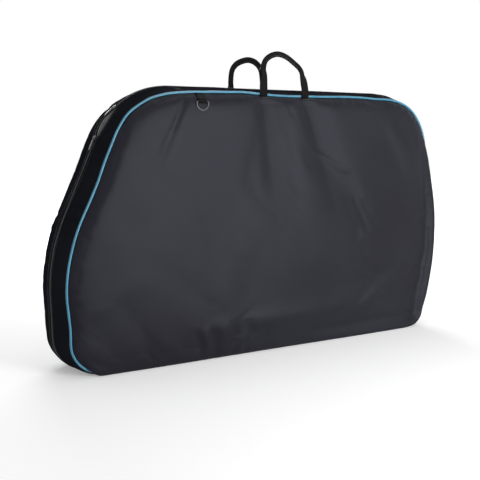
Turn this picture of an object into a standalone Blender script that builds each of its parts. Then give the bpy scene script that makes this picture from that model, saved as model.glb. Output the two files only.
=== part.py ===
"""Soft travel bag for a bicycle, closed and standing on its base.

Metres, +Z up. X runs along the bag with the sloping end at -X, and the front panel faces -Y.
The origin is on the ground under the middle of the bag.
Each half is a panel with its piping and half of the gusset. A zip over the ends and the top joins them.
"""

import math

import bmesh
import bpy
from mathutils import Matrix, Vector

# The bag, seam to seam
LENGTH = 1.26
SEAM_HEIGHT = 0.725
DEPTH = 0.17
BASE_LIFT = 0.010
GUSSET_SWELL = 0.016
# The strips of each half of the gusset, from its sloping end round to its upright one
GUSSET_STRIPS = ["left", "top", "corner", "right"]
EDGE_SWELL = 0.020
EDGE_REACH = 0.012
CENTRE_SWELL = 0.004
CENTRE_REACH = 0.100

# Corners of the panel, clockwise from the lower corner of the sloping end:
# x as a share of LENGTH, height and fillet radius as shares of SEAM_HEIGHT
OUTLINE_SHARES = [
    (-0.494, 0.000, 0.118),
    (-0.501, 0.407, 0.617),
    (-0.348, 1.000, 0.295),
    (0.443, 1.000, 0.232),
    (0.507, 0.403, 0.870),
    (0.460, 0.000, 0.062),
]
FACET_SAG = 0.0015
TURN_PER_POINT = math.radians(18)
SHOULDER_TURN_PER_POINT = math.radians(7)
LONGEST_STEP_SHARE = 0.20
CLOSE_SHARE = 0.016
ZIP_END_TURN = math.radians(30)

# Height of the gusset above the seam line, from the middle of the depth out to the seam
SWELL_SHARES = [(0.0, 1.0), (0.3, 0.93), (0.6, 0.66), (0.8, 0.36), (1.0, 0.0)]
BASE_SHARES = [(0.0, 1.0), (0.8, 1.0), (1.0, 0.0)]

# Cloth, foam and stiffening
CLEARANCE = 0.0003
SHELL_CLOTH = 0.0016
FOAM = 0.008
LINING_CLOTH = 0.001
GUSSET_CLOTH = 0.002
GUSSET_FOAM = 0.004
PIPING_RADIUS = 0.0025
SHELL_INSETS = [0.008, 0.018, 0.035]
INNER_RING_SHARES = [0.70, 0.35]
STEEP_ROOM_SHARE = 1.35
FOAM_ROOM_SHARE = 1.06
GUSSET_ROOM_SHARE = 1.2
GUSSET_LINING_INSET = 0.008
BOARD = 0.004
BOARD_INSET = 0.004
BOARD_BEVEL = 0.0012
BASE_FOAM = 0.008
BASE_FOAM_BEVEL = 0.003
BASE_END_INSET = 0.012
BASE_JOINT = 0.001

# Zip
ZIP_OPENING = 0.014
TAPE_WIDTH = 0.0165
TAPE = 0.0008
COIL_RADIUS = 0.001
COIL_GAP = 0.0003
PARTED_LENGTH = 0.092
PARTED_HALF_WIDTH = 0.012
PARTED_START = -0.006
PARTED_SHARES = [0.0, 0.1, 0.3, 0.5, 0.7, 0.9, 1.0]
PARTED_POWER = 0.7
GUARD_HALF_WIDTH = 0.0155
GUARD_DROP = 0.0026
STOP_LENGTH = 0.006
STOP_WIDTH = 0.004
STOP_HEIGHT = 0.0016
STOP_INSET = 0.008

# Zip sliders and their pull tabs
SLIDER_LENGTH = 0.015
SLIDER_WIDTH = 0.0115
SLIDER_PLATE = 0.0014
SLIDER_CLEARANCE = 0.0009
SLIDER_POST_WIDTH = 0.0018
SLIDER_POST_LENGTH = 0.003
SLIDER_POST_PLACE = 0.0045
BRIDGE_WIDTH = 0.0022
BRIDGE_LENGTH = 0.009
BRIDGE_WALL = 0.0011
BRIDGE_GAP = 0.0026
JOIN = 0.0002
PULL_LENGTH = 0.034
PULL_WIDTH = 0.0085
PULL_THICKNESS = 0.0014
PULL_EYE_LENGTH = 0.0075
PULL_EYE_PLAY = 0.0004
PULL_CORNER = 0.002

# Carrying handles: the middle line of each loop, across as shares of its span and up as shares of its rise,
# then the share of the webbing's width that lies flat there. The rest is folded under.
HANDLE_X_SHARES = {"front": 0.024, "back": 0.0175}
HANDLE_SPANS = {"front": 0.144, "back": 0.120}
HANDLE_RISE = 0.105
HANDLE_WIDTH = 0.024
HANDLE_THICKNESS = 0.005
HANDLE_EDGE = 0.0015
HANDLE_BEND_LEAN = math.radians(30)
HANDLE_SHARES = {
    "front": [
        (-0.50, 0.00, 1.00), (-0.51, 0.35, 0.92), (-0.53, 0.60, 0.80), (-0.48, 0.80, 0.70), (-0.35, 0.94, 0.62),
        (-0.17, 1.00, 0.62), (0.02, 0.94, 0.62), (0.20, 0.80, 0.64), (0.34, 0.65, 0.74), (0.43, 0.42, 0.90),
        (0.475, 0.20, 1.00), (0.50, 0.00, 1.00),
    ],
    "back": [
        (-0.50, 0.00, 0.80), (-0.485, 0.35, 0.76), (-0.455, 0.65, 0.70), (-0.37, 0.81, 0.62), (-0.22, 0.92, 0.62),
        (0.00, 0.99, 0.62), (0.18, 0.96, 0.62), (0.31, 0.87, 0.64), (0.41, 0.73, 0.70), (0.46, 0.50, 0.76),
        (0.48, 0.25, 0.80), (0.50, 0.00, 0.80),
    ],
}
WEBBING = 0.002
FOOT_WIDTH = 0.026
FOOT_PROUD = 0.003
FOOT_INSETS = [0.008, 0.014]

# Shoulder-strap rings, hung from tabs under the top seam
RING_X_SHARE = 0.198
RING_INSIDE = 0.032
RING_DROP = 0.022
RING_WIRE = 0.002
RING_CORNER = 0.003
RING_STEPS = 10
RING_BELOW_SEAM = 0.029
TAB_WIDTH = 0.028
TAB_CLOTH = 0.0014
TAB_INSETS = [0.005, 0.008, 0.018]
TAB_LOOP_STEPS = 6

# Wheel pockets and frame straps inside
POCKET_X_SHARE = 0.07
POCKET_WIDTH = 0.66
POCKET_BOTTOM = 0.045
POCKET_MOUTH = 0.565
POCKET_DEPTH = 0.039
POCKET_CLOTH = 0.0012
POCKET_RIM = 0.075
POCKET_TAPER_SHARE = 0.45
POCKET_SEAT = 0.0012
POCKET_COLUMNS = 12
POCKET_ROWS = 8
HEM_WIDTH = 0.018
HEM_CLOTH = 0.0015
STRAP_X_SHARES = {"left": -0.24, "right": 0.14}
STRAP_WIDTH = 0.038
STRAP_LENGTH = 0.110
STRAP_FOLD = 0.0045

HALF_DEPTH = DEPTH / 2
TOP_SEAM = BASE_LIFT + SEAM_HEIGHT
PIPING_ROOM = PIPING_RADIUS + CLEARANCE
SIDES = {"front": -1, "back": 1}


def clear_scene():
    for obj in list(bpy.data.objects):
        bpy.data.objects.remove(obj, do_unlink=True)


def new_collection(name):
    made = bpy.data.collections.new(name)
    bpy.context.scene.collection.children.link(made)
    return made


def principled(name, colour, roughness, metallic=0.0):
    made = bpy.data.materials.new(name)
    made.use_nodes = True
    shader = made.node_tree.nodes["Principled BSDF"]
    shader.inputs["Base Color"].default_value = (*colour, 1.0)
    shader.inputs["Roughness"].default_value = roughness
    shader.inputs["Metallic"].default_value = metallic
    return made


def add_object(name, data, finish, group):
    obj = bpy.data.objects.new(name, data)
    data.materials.append(finish)
    group.objects.link(obj)
    return obj


def pivot(name, place, group):
    """An empty on a joint's axis, for the pieces that turn about it."""
    obj = bpy.data.objects.new(name, None)
    obj.location = place
    group.objects.link(obj)
    return obj


def attach(child, parent, frame):
    """Parents a piece and leaves it where it is. frame is where the parent stands."""
    child.parent = parent
    child.matrix_parent_inverse = frame.inverted()


def solidify(obj, thickness, offset=-1.0):
    shell = obj.modifiers.new("thickness", "SOLIDIFY")
    shell.thickness = thickness
    shell.offset = offset
    shell.use_even_offset = True


def bevel(obj, width, segments):
    rounded = obj.modifiers.new("edges", "BEVEL")
    rounded.width = width
    rounded.segments = segments
    rounded.limit_method = "ANGLE"


def sheet(name, rows, facing, thickness, finish, group, closed=False, apex=None, origin=None):
    """An open surface through rows of points, given a wall on the side away from facing."""
    start = origin or Vector((0, 0, 0))
    bm = bmesh.new()
    grid = [[bm.verts.new(Vector(point) - start) for point in row] for row in rows]
    count = len(grid[0])
    for near, far in zip(grid, grid[1:]):
        for k in range(count if closed else count - 1):
            after = (k + 1) % count
            bm.faces.new((near[k], near[after], far[after], far[k]))
    if apex is not None:
        top = bm.verts.new(Vector(apex) - start)
        for k in range(count):
            bm.faces.new((grid[-1][k], grid[-1][(k + 1) % count], top))
    bm.normal_update()
    bm.faces.ensure_lookup_table()
    if bm.faces[0].normal.dot(Vector(facing)) < 0:
        bmesh.ops.reverse_faces(bm, faces=bm.faces)
    mesh = bpy.data.meshes.new(name)
    bm.to_mesh(mesh)
    bm.free()
    mesh.shade_smooth()
    obj = add_object(name, mesh, finish, group)
    obj.location = start
    solidify(obj, thickness)
    return obj


def tube(name, points, radius, finish, group, closed, resolution, origin=None):
    start = origin or Vector((0, 0, 0))
    curve = bpy.data.curves.new(name, "CURVE")
    curve.dimensions = "3D"
    curve.bevel_depth = radius
    curve.bevel_resolution = resolution
    curve.use_fill_caps = True
    spline = curve.splines.new("POLY")
    spline.points.add(len(points) - 1)
    for target, point in zip(spline.points, points):
        target.co = (*(Vector(point) - start), 1.0)
    spline.use_cyclic_u = closed
    obj = add_object(name, curve, finish, group)
    obj.location = start
    return obj


def block(name, size, centre, group, finish=None, frame=None):
    """A box of that size about that centre, both in the axes of frame."""
    bm = bmesh.new()
    bmesh.ops.create_cube(bm, size=1.0)
    bmesh.ops.scale(bm, vec=Vector(size), verts=bm.verts)
    bmesh.ops.translate(bm, vec=Vector(centre), verts=bm.verts)
    mesh = bpy.data.meshes.new(name)
    bm.to_mesh(mesh)
    bm.free()
    obj = bpy.data.objects.new(name, mesh)
    group.objects.link(obj)
    if finish:
        mesh.materials.append(finish)
    if frame:
        obj.matrix_world = frame
    return obj


def combine(obj, tool, operation):
    change = obj.modifiers.new(tool.name, "BOOLEAN")
    change.operation = operation
    change.object = tool
    change.solver = "EXACT"
    tool.hide_render = True
    tool.display_type = "WIRE"


# The outline of a panel


class Station:
    """A point of the outline in the X-Z plane, with its outward normal and its distance along the outline."""

    def __init__(self, along, point, normal):
        self.along = along
        self.point = point
        self.normal = normal


class Corner:
    """A rounded corner of the outline: an arc from angle start that turns clockwise by turn."""

    def __init__(self, before, corner, after, radius):
        arriving = (corner - before).normalized()
        leaving = (after - corner).normalized()
        self.turn = arriving.angle(leaving)
        self.radius = radius
        self.begin = corner - arriving * radius * math.tan(self.turn / 2)
        self.end = corner + leaving * radius * math.tan(self.turn / 2)
        outward = Vector((-arriving.y, arriving.x))
        self.centre = self.begin - outward * radius
        self.start = math.atan2(outward.y, outward.x)
        self.along = 0.0

    def normal(self, turned):
        angle = self.start - turned
        return Vector((math.cos(angle), math.sin(angle)))

    def steps(self, widest):
        widest = min(widest, 2 * math.acos(1 - FACET_SAG / self.radius))
        return max(2, math.ceil(self.turn / widest))


def outline_corners():
    corners = [Vector((x * LENGTH, z * SEAM_HEIGHT)) for x, z, _ in OUTLINE_SHARES]
    count = len(corners)
    return [
        Corner(corners[k - 1], corners[k], corners[(k + 1) % count], OUTLINE_SHARES[k][2] * SEAM_HEIGHT)
        for k in range(count)
    ]


def shoulder_of(corners):
    """The corner at the top of the sloping end."""
    return max(corners, key=lambda corner: corner.begin.y - corner.begin.x)


def outline_stations():
    """Stations clockwise from the middle of the bottom edge, and the corners, centred on X and on the lifted seam."""
    corners = outline_corners()
    shoulder = shoulder_of(corners)
    start = (corners[-1].end + corners[0].begin) / 2
    stations = []
    along, here = 0.0, start
    for corner in [*corners, None]:
        target = corner.begin if corner else start
        run = target - here
        normal = Vector((-run.y, run.x)).normalized()
        steps = max(1, math.ceil(run.length / (LONGEST_STEP_SHARE * LENGTH)))
        for step in range(steps):
            share = step / steps
            stations.append(Station(along + run.length * share, here + run * share, normal))
        along += run.length
        if corner is None:
            break
        corner.along = along
        steps = corner.steps(SHOULDER_TURN_PER_POINT if corner is shoulder else TURN_PER_POINT)
        for step in range(steps):
            turned = corner.turn * step / steps
            outward = corner.normal(turned)
            stations.append(Station(along + corner.radius * turned, corner.centre + outward * corner.radius, outward))
        along += corner.radius * corner.turn
        here = corner.end
    low = min(station.point.x for station in stations)
    high = max(station.point.x for station in stations)
    shift = Vector((-(low + high) / 2, BASE_LIFT))
    for station in stations:
        station.point = station.point + shift
    for corner in corners:
        corner.centre = corner.centre + shift
        corner.begin = corner.begin + shift
        corner.end = corner.end + shift
    return stations, corners, along


def station_at(along):
    """The station at any distance along the outline, between two of the listed ones."""
    place = along % PERIMETER
    for corner in CORNERS:
        turned = (place - corner.along) / corner.radius
        if 0 <= turned <= corner.turn:
            outward = corner.normal(turned)
            return Station(along, corner.centre + outward * corner.radius, outward)
    before = max((s for s in STATIONS if s.along <= place), key=lambda s: s.along)
    direction = Vector((before.normal.y, -before.normal.x))
    ends = [corner for corner in CORNERS if corner.along + corner.radius * corner.turn <= place]
    if ends:
        last = max(ends, key=lambda corner: corner.along)
        run_start, run_along = last.end, last.along + last.radius * last.turn
        direction = Vector((last.normal(last.turn).y, -last.normal(last.turn).x))
    else:
        run_start, run_along = STATIONS[0].point, 0.0
    normal = Vector((-direction.y, direction.x))
    return Station(along, run_start + direction * (place - run_along), normal)


def stretch(first, last, extra=()):
    """Stations from first to last along the outline, both included, with any extra places between."""
    places = {round(first, 6), round(last, 6)} | {round(place, 6) for place in extra}
    margin = LONGEST_STEP_SHARE * LENGTH * CLOSE_SHARE
    for turn in (0, 1):
        for station in STATIONS:
            place = station.along + turn * PERIMETER
            if first < place < last and all(abs(place - other) > margin for other in places):
                places.add(round(place, 6))
    return [station_at(place) for place in sorted(places)]


STATIONS, CORNERS, PERIMETER = outline_stations()
ZIP_START = CORNERS[0].along + CORNERS[0].radius * ZIP_END_TURN
ZIP_END = CORNERS[-1].along + CORNERS[-1].radius * (CORNERS[-1].turn - ZIP_END_TURN)
PARTED_FROM = shoulder_of(CORNERS).along + PARTED_START
PARTED_PLACES = [PARTED_FROM + PARTED_LENGTH * share for share in PARTED_SHARES]


def edge_distance(point):
    """Distance from a point in the X-Z plane to the seam outline."""
    nearest = math.inf
    for near, far in zip(STATIONS, [*STATIONS[1:], STATIONS[0]]):
        run = far.point - near.point
        share = max(0.0, min(1.0, (point - near.point).dot(run) / run.length_squared))
        nearest = min(nearest, (near.point + run * share - point).length)
    return nearest


def panel_swell(distance):
    """How far a panel stands out from the seam plane, at that distance inside the seam."""
    inside = max(0.0, distance - PIPING_ROOM)
    edge = EDGE_SWELL * (1 - math.exp(-inside / EDGE_REACH))
    return SHELL_CLOTH / 2 + edge + CENTRE_SWELL * (1 - math.exp(-inside / CENTRE_REACH))


def panel_lean(distance):
    """How much longer a step straight through a panel is than its wall, where the panel slopes."""
    inside = max(0.0, distance - PIPING_ROOM)
    return math.hypot(1, EDGE_SWELL / EDGE_REACH * math.exp(-inside / EDGE_REACH))


def panel_point(side, place, depth, distance=None):
    """A point at that depth under the outer face of a panel, for a place in the X-Z plane."""
    inside = edge_distance(place) if distance is None else distance
    return Vector((place.x, side * (HALF_DEPTH + panel_swell(inside) - depth), place.y))


def inset_ring(inset):
    return [station.point - station.normal * inset for station in STATIONS]


def panel_layer(name, side, insets, depth, thickness, finish, group):
    """A layer of a panel: rings at these insets from the seam, then rings drawn in towards the middle."""
    middle = Vector((0.0, BASE_LIFT + SEAM_HEIGHT / 2))
    inner = inset_ring(SHELL_INSETS[-1])
    rings = [[panel_point(side, place, depth, inset) for place in inset_ring(inset)] for inset in insets]
    for share in INNER_RING_SHARES:
        ring = [middle + (place - middle) * share for place in inner]
        rings.append([panel_point(side, place, depth) for place in ring])
    apex = panel_point(side, middle, depth)
    facing = (0, side, 0)
    return sheet(name, rings, facing, thickness, finish, group, closed=True, apex=apex)


def piping(name, side, finish, group):
    points = [(s.point.x, side * HALF_DEPTH, s.point.y) for s in STATIONS]
    origin = Vector((0, side * HALF_DEPTH, BASE_LIFT))
    return tube(name, points, PIPING_RADIUS, finish, group, closed=True, resolution=1, origin=origin)


# The gusset and the zip


def from_table(table, share):
    for (near, low), (far, high) in zip(table, table[1:]):
        if share <= far:
            return low + (high - low) * (share - near) / (far - near)
    return table[-1][1]


def gusset_height(station, y):
    """How far the outer face of the gusset stands out from the seam line."""
    share = abs(y) / HALF_DEPTH
    under = max(0.0, -station.normal.y) ** 2
    swell = GUSSET_SWELL * from_table(SWELL_SHARES, share)
    return swell * (1 - under) + BASE_LIFT * from_table(BASE_SHARES, share) * under


def gusset_point(station, y, depth):
    place = station.point + station.normal * (gusset_height(station, y) - depth)
    return Vector((place.x, y, place.y))


def parting(station):
    """Half the width that the zip stands open at this station."""
    share = (station.along - PARTED_FROM) / PARTED_LENGTH
    if not 0 < share < 1:
        return 0.0
    return PARTED_HALF_WIDTH * (4 * share * (1 - share)) ** PARTED_POWER


def gusset_layer(name, stations, edges, depth, thickness, finish, group):
    """A band along the stations. Each edge is (y, moves): one that moves follows the parting of the zip."""
    rows = []
    for y, moves in edges:
        toward = math.copysign(1.0, moves) if moves else 0.0
        rows.append([gusset_point(s, y + toward * parting(s), depth) for s in stations])
    first = stations[0].normal
    return sheet(name, rows, (first.x, 0, first.y), thickness, finish, group)


def zip_stretch():
    return stretch(ZIP_START, ZIP_END, PARTED_PLACES)


def gusset_strips():
    """The strips that the gusset is sewn from, each with its stations: they meet at both ends of the upper corners."""
    shoulder = shoulder_of(CORNERS)
    far = CORNERS[CORNERS.index(shoulder) + 1]
    joins = [shoulder.along + shoulder.radius * shoulder.turn, far.along, far.along + far.radius * far.turn]
    starts = [ZIP_START, *[join + CLEARANCE / 2 for join in joins]]
    ends = [*[join - CLEARANCE / 2 for join in joins], ZIP_END]
    strips = {}
    for name, start, end in zip(GUSSET_STRIPS, starts, ends):
        strips[name] = stretch(start, end, [place for place in PARTED_PLACES if start < place < end])
    return strips


def half_gusset(half, side, looks, group):
    stations = zip_stretch()
    seam_edge = HALF_DEPTH - PIPING_ROOM
    zip_edge = ZIP_OPENING / 2
    tape_near = COIL_RADIUS + COIL_GAP
    tape_far = tape_near + TAPE_WIDTH
    ridges = [share * HALF_DEPTH for share, _ in SWELL_SHARES[1:-1]]
    outer = [(side * seam_edge, 0), *[(side * y, 0) for y in reversed(ridges[1:])]]
    outer += [(side * tape_far, side), (side * zip_edge, side)]
    for strip, places in gusset_strips().items():
        gusset_layer(f"{half}_gusset_{strip}", places, outer, 0.0, GUSSET_CLOTH, looks["shell"], group)

    lining_edge = HALF_DEPTH - GUSSET_LINING_INSET
    inner = [(side * lining_edge, 0), *[(side * y, 0) for y in reversed(ridges[1:])]]
    inner += [(side * (tape_far + TAPE), side)]
    foam_depth = GUSSET_CLOTH * GUSSET_ROOM_SHARE + CLEARANCE
    gusset_layer(f"{half}_gusset_lining", stations, inner, foam_depth, GUSSET_FOAM, looks["lining"], group)

    tape = [(side * tape_far, side), (side * tape_near, side)]
    tape_depth = GUSSET_CLOTH + CLEARANCE
    gusset_layer(f"{half}_zip_tape", stations, tape, tape_depth, TAPE, looks["tape"], group)
    zip_coil(f"{half}_zip_coil", side, stations, looks["coil"], group)
    for end, place in {"left": ZIP_START + STOP_INSET, "right": ZIP_END - STOP_INSET}.items():
        zip_stop(f"{half}_zip_stop_{end}", side, place, looks["metal"], group)


def coil_depth():
    return GUSSET_CLOTH - COIL_RADIUS


def zip_coil(name, side, stations, finish, group):
    """One row of teeth, as the continuous coil that the teeth are wound from."""
    y = side * (COIL_RADIUS + COIL_GAP / 2)
    points = [gusset_point(s, y + side * parting(s), coil_depth()) for s in stations]
    return tube(name, points, COIL_RADIUS, finish, group, closed=False, resolution=0)


def zip_frame(along, y, depth):
    """Axes on the gusset: X clockwise along the zip, Y as the world's, Z outwards."""
    station = station_at(along)
    outward = Vector((station.normal.x, 0, station.normal.y))
    forward = Vector((station.normal.y, 0, -station.normal.x))
    axes = Matrix((forward, Vector((0, 1, 0)), outward)).transposed().to_4x4()
    return Matrix.Translation(gusset_point(station, y, depth)) @ axes


def zip_stop(name, side, along, finish, group):
    size = (STOP_LENGTH, STOP_WIDTH, STOP_HEIGHT)
    centre = (0, 0, STOP_HEIGHT / 2 + CLEARANCE)
    y = side * (CLEARANCE + STOP_WIDTH / 2)
    stop = block(name, size, centre, group, finish, zip_frame(along, y, 0.0))
    bevel(stop, STOP_HEIGHT / 4, 1)
    return stop


def zip_guard(finish, group):
    """The strip of lining behind the zip, sewn to the back tape where the gusset doesn't face down."""
    stations = [station for station in zip_stretch() if station.normal.y >= 0]
    tape_under = GUSSET_CLOTH + CLEARANCE + TAPE + CLEARANCE
    rows = []
    for y, moves, drop in [
        (-GUARD_HALF_WIDTH, -1, GUARD_DROP),
        (0.0, 0, GUARD_DROP),
        (GUARD_HALF_WIDTH - GUARD_DROP, 1, GUARD_DROP),
        (GUARD_HALF_WIDTH, 1, 0.0),
    ]:
        row = [gusset_point(s, y + moves * parting(s), tape_under + drop) for s in stations]
        rows.append(row)
    first = stations[0].normal
    return sheet("zip_guard", rows, (first.x, 0, first.y), TAPE, finish, group)


def zip_slider(name, along, opening, finish, group, cutters):
    """A slider on the zip at that place. opening is 1 if the parted stretch lies clockwise of it, else -1."""
    frame = zip_frame(along, 0.0, 0.0)
    lower_face = -(GUSSET_CLOTH + CLEARANCE + TAPE + SLIDER_CLEARANCE)
    plate = (SLIDER_LENGTH, SLIDER_WIDTH, SLIDER_PLATE)
    top = SLIDER_CLEARANCE + SLIDER_PLATE
    body = block(name, plate, (0, 0, SLIDER_CLEARANCE + SLIDER_PLATE / 2), group, finish, frame)
    keel = block(f"{name}_keel", plate, (0, 0, lower_face - SLIDER_PLATE / 2), cutters, None, frame)
    post_height = SLIDER_CLEARANCE - lower_face + 2 * JOIN
    post_size = (SLIDER_POST_LENGTH, SLIDER_POST_WIDTH, post_height)
    post_centre = (opening * SLIDER_POST_PLACE, 0, (SLIDER_CLEARANCE + lower_face) / 2)
    post = block(f"{name}_post", post_size, post_centre, cutters, None, frame)
    rise = BRIDGE_GAP + BRIDGE_WALL + JOIN
    bridge_size = (BRIDGE_LENGTH, BRIDGE_WIDTH, rise)
    bridge = block(f"{name}_bridge", bridge_size, (0, 0, top + rise / 2 - JOIN), cutters, None, frame)
    hole_size = (BRIDGE_LENGTH - 2 * BRIDGE_WALL, SLIDER_WIDTH, BRIDGE_GAP)
    hole = block(f"{name}_hole", hole_size, (0, 0, top + BRIDGE_GAP / 2), cutters, None, frame)
    for tool in (post, keel, bridge):
        combine(body, tool, "UNION")
    combine(body, hole, "DIFFERENCE")
    return body


def rounded_rectangle(x_low, x_high, half_width, corner):
    """Corner points of a rectangle along X with its four corners cut."""
    return [
        (x_low, -half_width + corner),
        (x_low + corner, -half_width),
        (x_high - corner, -half_width),
        (x_high, -half_width + corner),
        (x_high, half_width - corner),
        (x_high - corner, half_width),
        (x_low + corner, half_width),
        (x_low, half_width - corner),
    ]


def pull_axis_height():
    return SLIDER_CLEARANCE + SLIDER_PLATE + BRIDGE_GAP / 2


def pull_tab(name, along, finish, group):
    """A flat tab whose crossbar turns under the bridge of its slider. It lies down the slope."""
    curve = bpy.data.curves.new(name, "CURVE")
    curve.dimensions = "2D"
    curve.fill_mode = "BOTH"
    curve.extrude = PULL_THICKNESS / 2
    bar = PULL_THICKNESS / 2
    eye_half_width = BRIDGE_WIDTH / 2 + PULL_EYE_PLAY
    loops = [
        rounded_rectangle(-bar, PULL_LENGTH, PULL_WIDTH / 2, PULL_CORNER),
        rounded_rectangle(bar, PULL_EYE_LENGTH, eye_half_width, PULL_CORNER / 4),
    ]
    for loop in loops:
        spline = curve.splines.new("POLY")
        spline.points.add(len(loop) - 1)
        for target, (x, y) in zip(spline.points, loop):
            target.co = (-x, y, 0.0, 1.0)
        spline.use_cyclic_u = True
    tab = add_object(name, curve, finish, group)
    tab.matrix_world = zip_frame(along, 0.0, -pull_axis_height())
    return tab


# The base


def base_gusset(finish, group):
    first = ZIP_END + BASE_JOINT
    last = PERIMETER + ZIP_START - BASE_JOINT
    stations = stretch(first, last)
    seam_edge = HALF_DEPTH - PIPING_ROOM
    half = [seam_edge, *[share * HALF_DEPTH for share in (BASE_SHARES[1][0], SWELL_SHARES[1][0])]]
    rows = [[gusset_point(s, y, 0.0) for s in stations] for y in [*[-y for y in half], *reversed(half)]]
    normal = stations[0].normal
    return sheet("base_gusset", rows, (normal.x, 0, normal.y), GUSSET_CLOTH, finish, group)


def base_layers(looks, group):
    left = CORNERS[0].begin.x + BASE_END_INSET
    right = CORNERS[-1].end.x - BASE_END_INSET
    flat = BASE_SHARES[1][0] * DEPTH
    board_floor = GUSSET_CLOTH + CLEARANCE
    board_size = (right - left, flat - 2 * BOARD_INSET, BOARD)
    board_centre = ((left + right) / 2, 0, board_floor + BOARD / 2)
    board = block("base_board", board_size, board_centre, group, looks["board"])
    bevel(board, BOARD_BEVEL, 1)
    foam_floor = board_floor + BOARD + CLEARANCE
    foam_size = (right - left, flat, BASE_FOAM)
    foam_centre = ((left + right) / 2, 0, foam_floor + BASE_FOAM / 2)
    foam = block("base_pad", foam_size, foam_centre, group, looks["lining"])
    bevel(foam, BASE_FOAM_BEVEL, 2)
    return foam_floor + BASE_FOAM


def frame_strap(name, x, floor, finish, group):
    """A strap sewn across the base pad and folded away in three layers."""
    reach = STRAP_LENGTH / 2
    low = floor + CLEARANCE
    path = [(-reach, low), (reach, low)]
    path += [(reach + STRAP_FOLD / 2, low + STRAP_FOLD / 2), (reach, low + STRAP_FOLD)]
    path += [(-reach, low + STRAP_FOLD), (-reach - STRAP_FOLD / 2, low + STRAP_FOLD * 3 / 2)]
    path += [(-reach, low + 2 * STRAP_FOLD), (reach / 2, low + 2 * STRAP_FOLD)]
    rows = [[(x + edge, y, z) for y, z in path] for edge in (-STRAP_WIDTH / 2, STRAP_WIDTH / 2)]
    return sheet(name, rows, (0, 0, -1), WEBBING, finish, group)


# Handles, rings and their sewn ends


def foot_top(side, x):
    return Vector((x, side * (HALF_DEPTH + PIPING_ROOM + CLEARANCE), TOP_SEAM + FOOT_PROUD))


def handle_bend():
    """Room that a handle's leg needs between the line it turns about and its foot."""
    return HANDLE_THICKNESS / 2 + 2 * CLEARANCE


def handle_root(half, side):
    """The line where the webbing of a handle bends, above the outer edge of its feet."""
    x = HANDLE_X_SHARES[half] * LENGTH
    top = foot_top(side, x)
    down = (over_panel(side, x, FOOT_INSETS[0], CLEARANCE) - top).normalized()
    corner = top + Vector((0, -down.z * side, abs(down.y))) * WEBBING
    toward = Vector((0, side * math.sin(HANDLE_BEND_LEAN), math.cos(HANDLE_BEND_LEAN)))
    return corner + toward * handle_bend()


def handle_edges(half):
    """The outer and the inner edge of a handle's loop, in its own plane."""
    foot = 2 * CLEARANCE - HANDLE_THICKNESS / 2
    line = [Vector((x * HANDLE_SPANS[half], foot + z * HANDLE_RISE)) for x, z, _ in HANDLE_SHARES[half]]
    outer, inner = [], []
    for k, (place, (_, _, flat)) in enumerate(zip(line, HANDLE_SHARES[half])):
        ahead = (line[min(k + 1, len(line) - 1)] - line[max(k - 1, 0)]).normalized()
        if k in (0, len(line) - 1):
            ahead = Vector((0, 1 if k == 0 else -1))
        outward = Vector((-ahead.y, ahead.x)) * HANDLE_WIDTH * flat / 2
        outer.append(place + outward)
        inner.append(place - outward)
    return outer, inner


def handle(half, side, finish, group):
    root = handle_root(half, side)
    face = side * HANDLE_THICKNESS / 2
    rows = [[root + Vector((edge.x, face, edge.y)) for edge in edges] for edges in handle_edges(half)]
    obj = sheet(f"{half}_handle", rows, (0, side, 0), HANDLE_THICKNESS, finish, group, origin=root)
    bevel(obj, HANDLE_EDGE, 1)
    return obj


def over_panel(side, x, inset, height):
    """A point that height over the cloth of a panel, that far below its top seam."""
    return panel_point(side, Vector((x, TOP_SEAM - inset)), -height * panel_lean(inset), inset)


def handle_foot(name, side, x, finish, group):
    """The end of a handle's webbing, sewn over the piping and down the panel."""
    rows = []
    for edge in (x - FOOT_WIDTH / 2, x + FOOT_WIDTH / 2):
        row = [over_panel(side, edge, inset, CLEARANCE) for inset in FOOT_INSETS]
        rows.append([foot_top(side, edge), *row])
    return sheet(name, rows, (0, -side, 0), WEBBING, finish, group)


def ring_axis(side):
    """The bar of a strap ring, far enough out for the ring to hang clear of the panel."""
    lowest = RING_BELOW_SEAM + RING_DROP + RING_WIRE
    face = panel_swell(lowest) + RING_WIRE + 2 * CLEARANCE
    x = side * RING_X_SHARE * LENGTH
    return Vector((x, side * (HALF_DEPTH + face), TOP_SEAM - RING_BELOW_SEAM))


def strap_ring(name, side, finish, group):
    half = RING_INSIDE / 2 + RING_WIRE
    points = [(-half + RING_CORNER, 0.0), (half - RING_CORNER, 0.0)]
    for step in range(RING_STEPS + 1):
        angle = math.pi * step / RING_STEPS
        points.append((half * math.cos(angle), -RING_CORNER - (RING_DROP - RING_CORNER) * math.sin(angle)))
    axis = ring_axis(side)
    path = [axis + Vector((x, 0, z)) for x, z in points]
    return tube(name, path, RING_WIRE, finish, group, closed=True, resolution=1, origin=axis)


def ring_tab(name, side, finish, group):
    """Webbing from the top seam, down round the bar of the ring and back up."""
    axis = ring_axis(side)
    radius = RING_WIRE + CLEARANCE
    inner = CLEARANCE + TAB_CLOTH
    path = [over_panel(side, axis.x, inset, inner) for inset in TAB_INSETS]
    leg = path[-1] - axis
    start = math.atan2(leg.z, -side * leg.y) - math.pi / 2
    for step in range(TAB_LOOP_STEPS + 1):
        angle = start - math.pi * step / TAB_LOOP_STEPS
        path.append(axis + Vector((0, -side * radius * math.cos(angle), radius * math.sin(angle))))
    path += [over_panel(side, axis.x, inset, inner + CLEARANCE) for inset in reversed(TAB_INSETS[1:])]
    rows = []
    for edge in (-TAB_WIDTH / 2, TAB_WIDTH / 2):
        rows.append([point + Vector((edge, 0, 0)) for point in path])
    return sheet(name, rows, (0, side, 0), TAB_CLOTH, finish, group)


# Pockets for the wheels


def lining_depth():
    foam_from = SHELL_CLOTH * STEEP_ROOM_SHARE + CLEARANCE
    return foam_from + FOAM * FOAM_ROOM_SHARE + CLEARANCE


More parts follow.
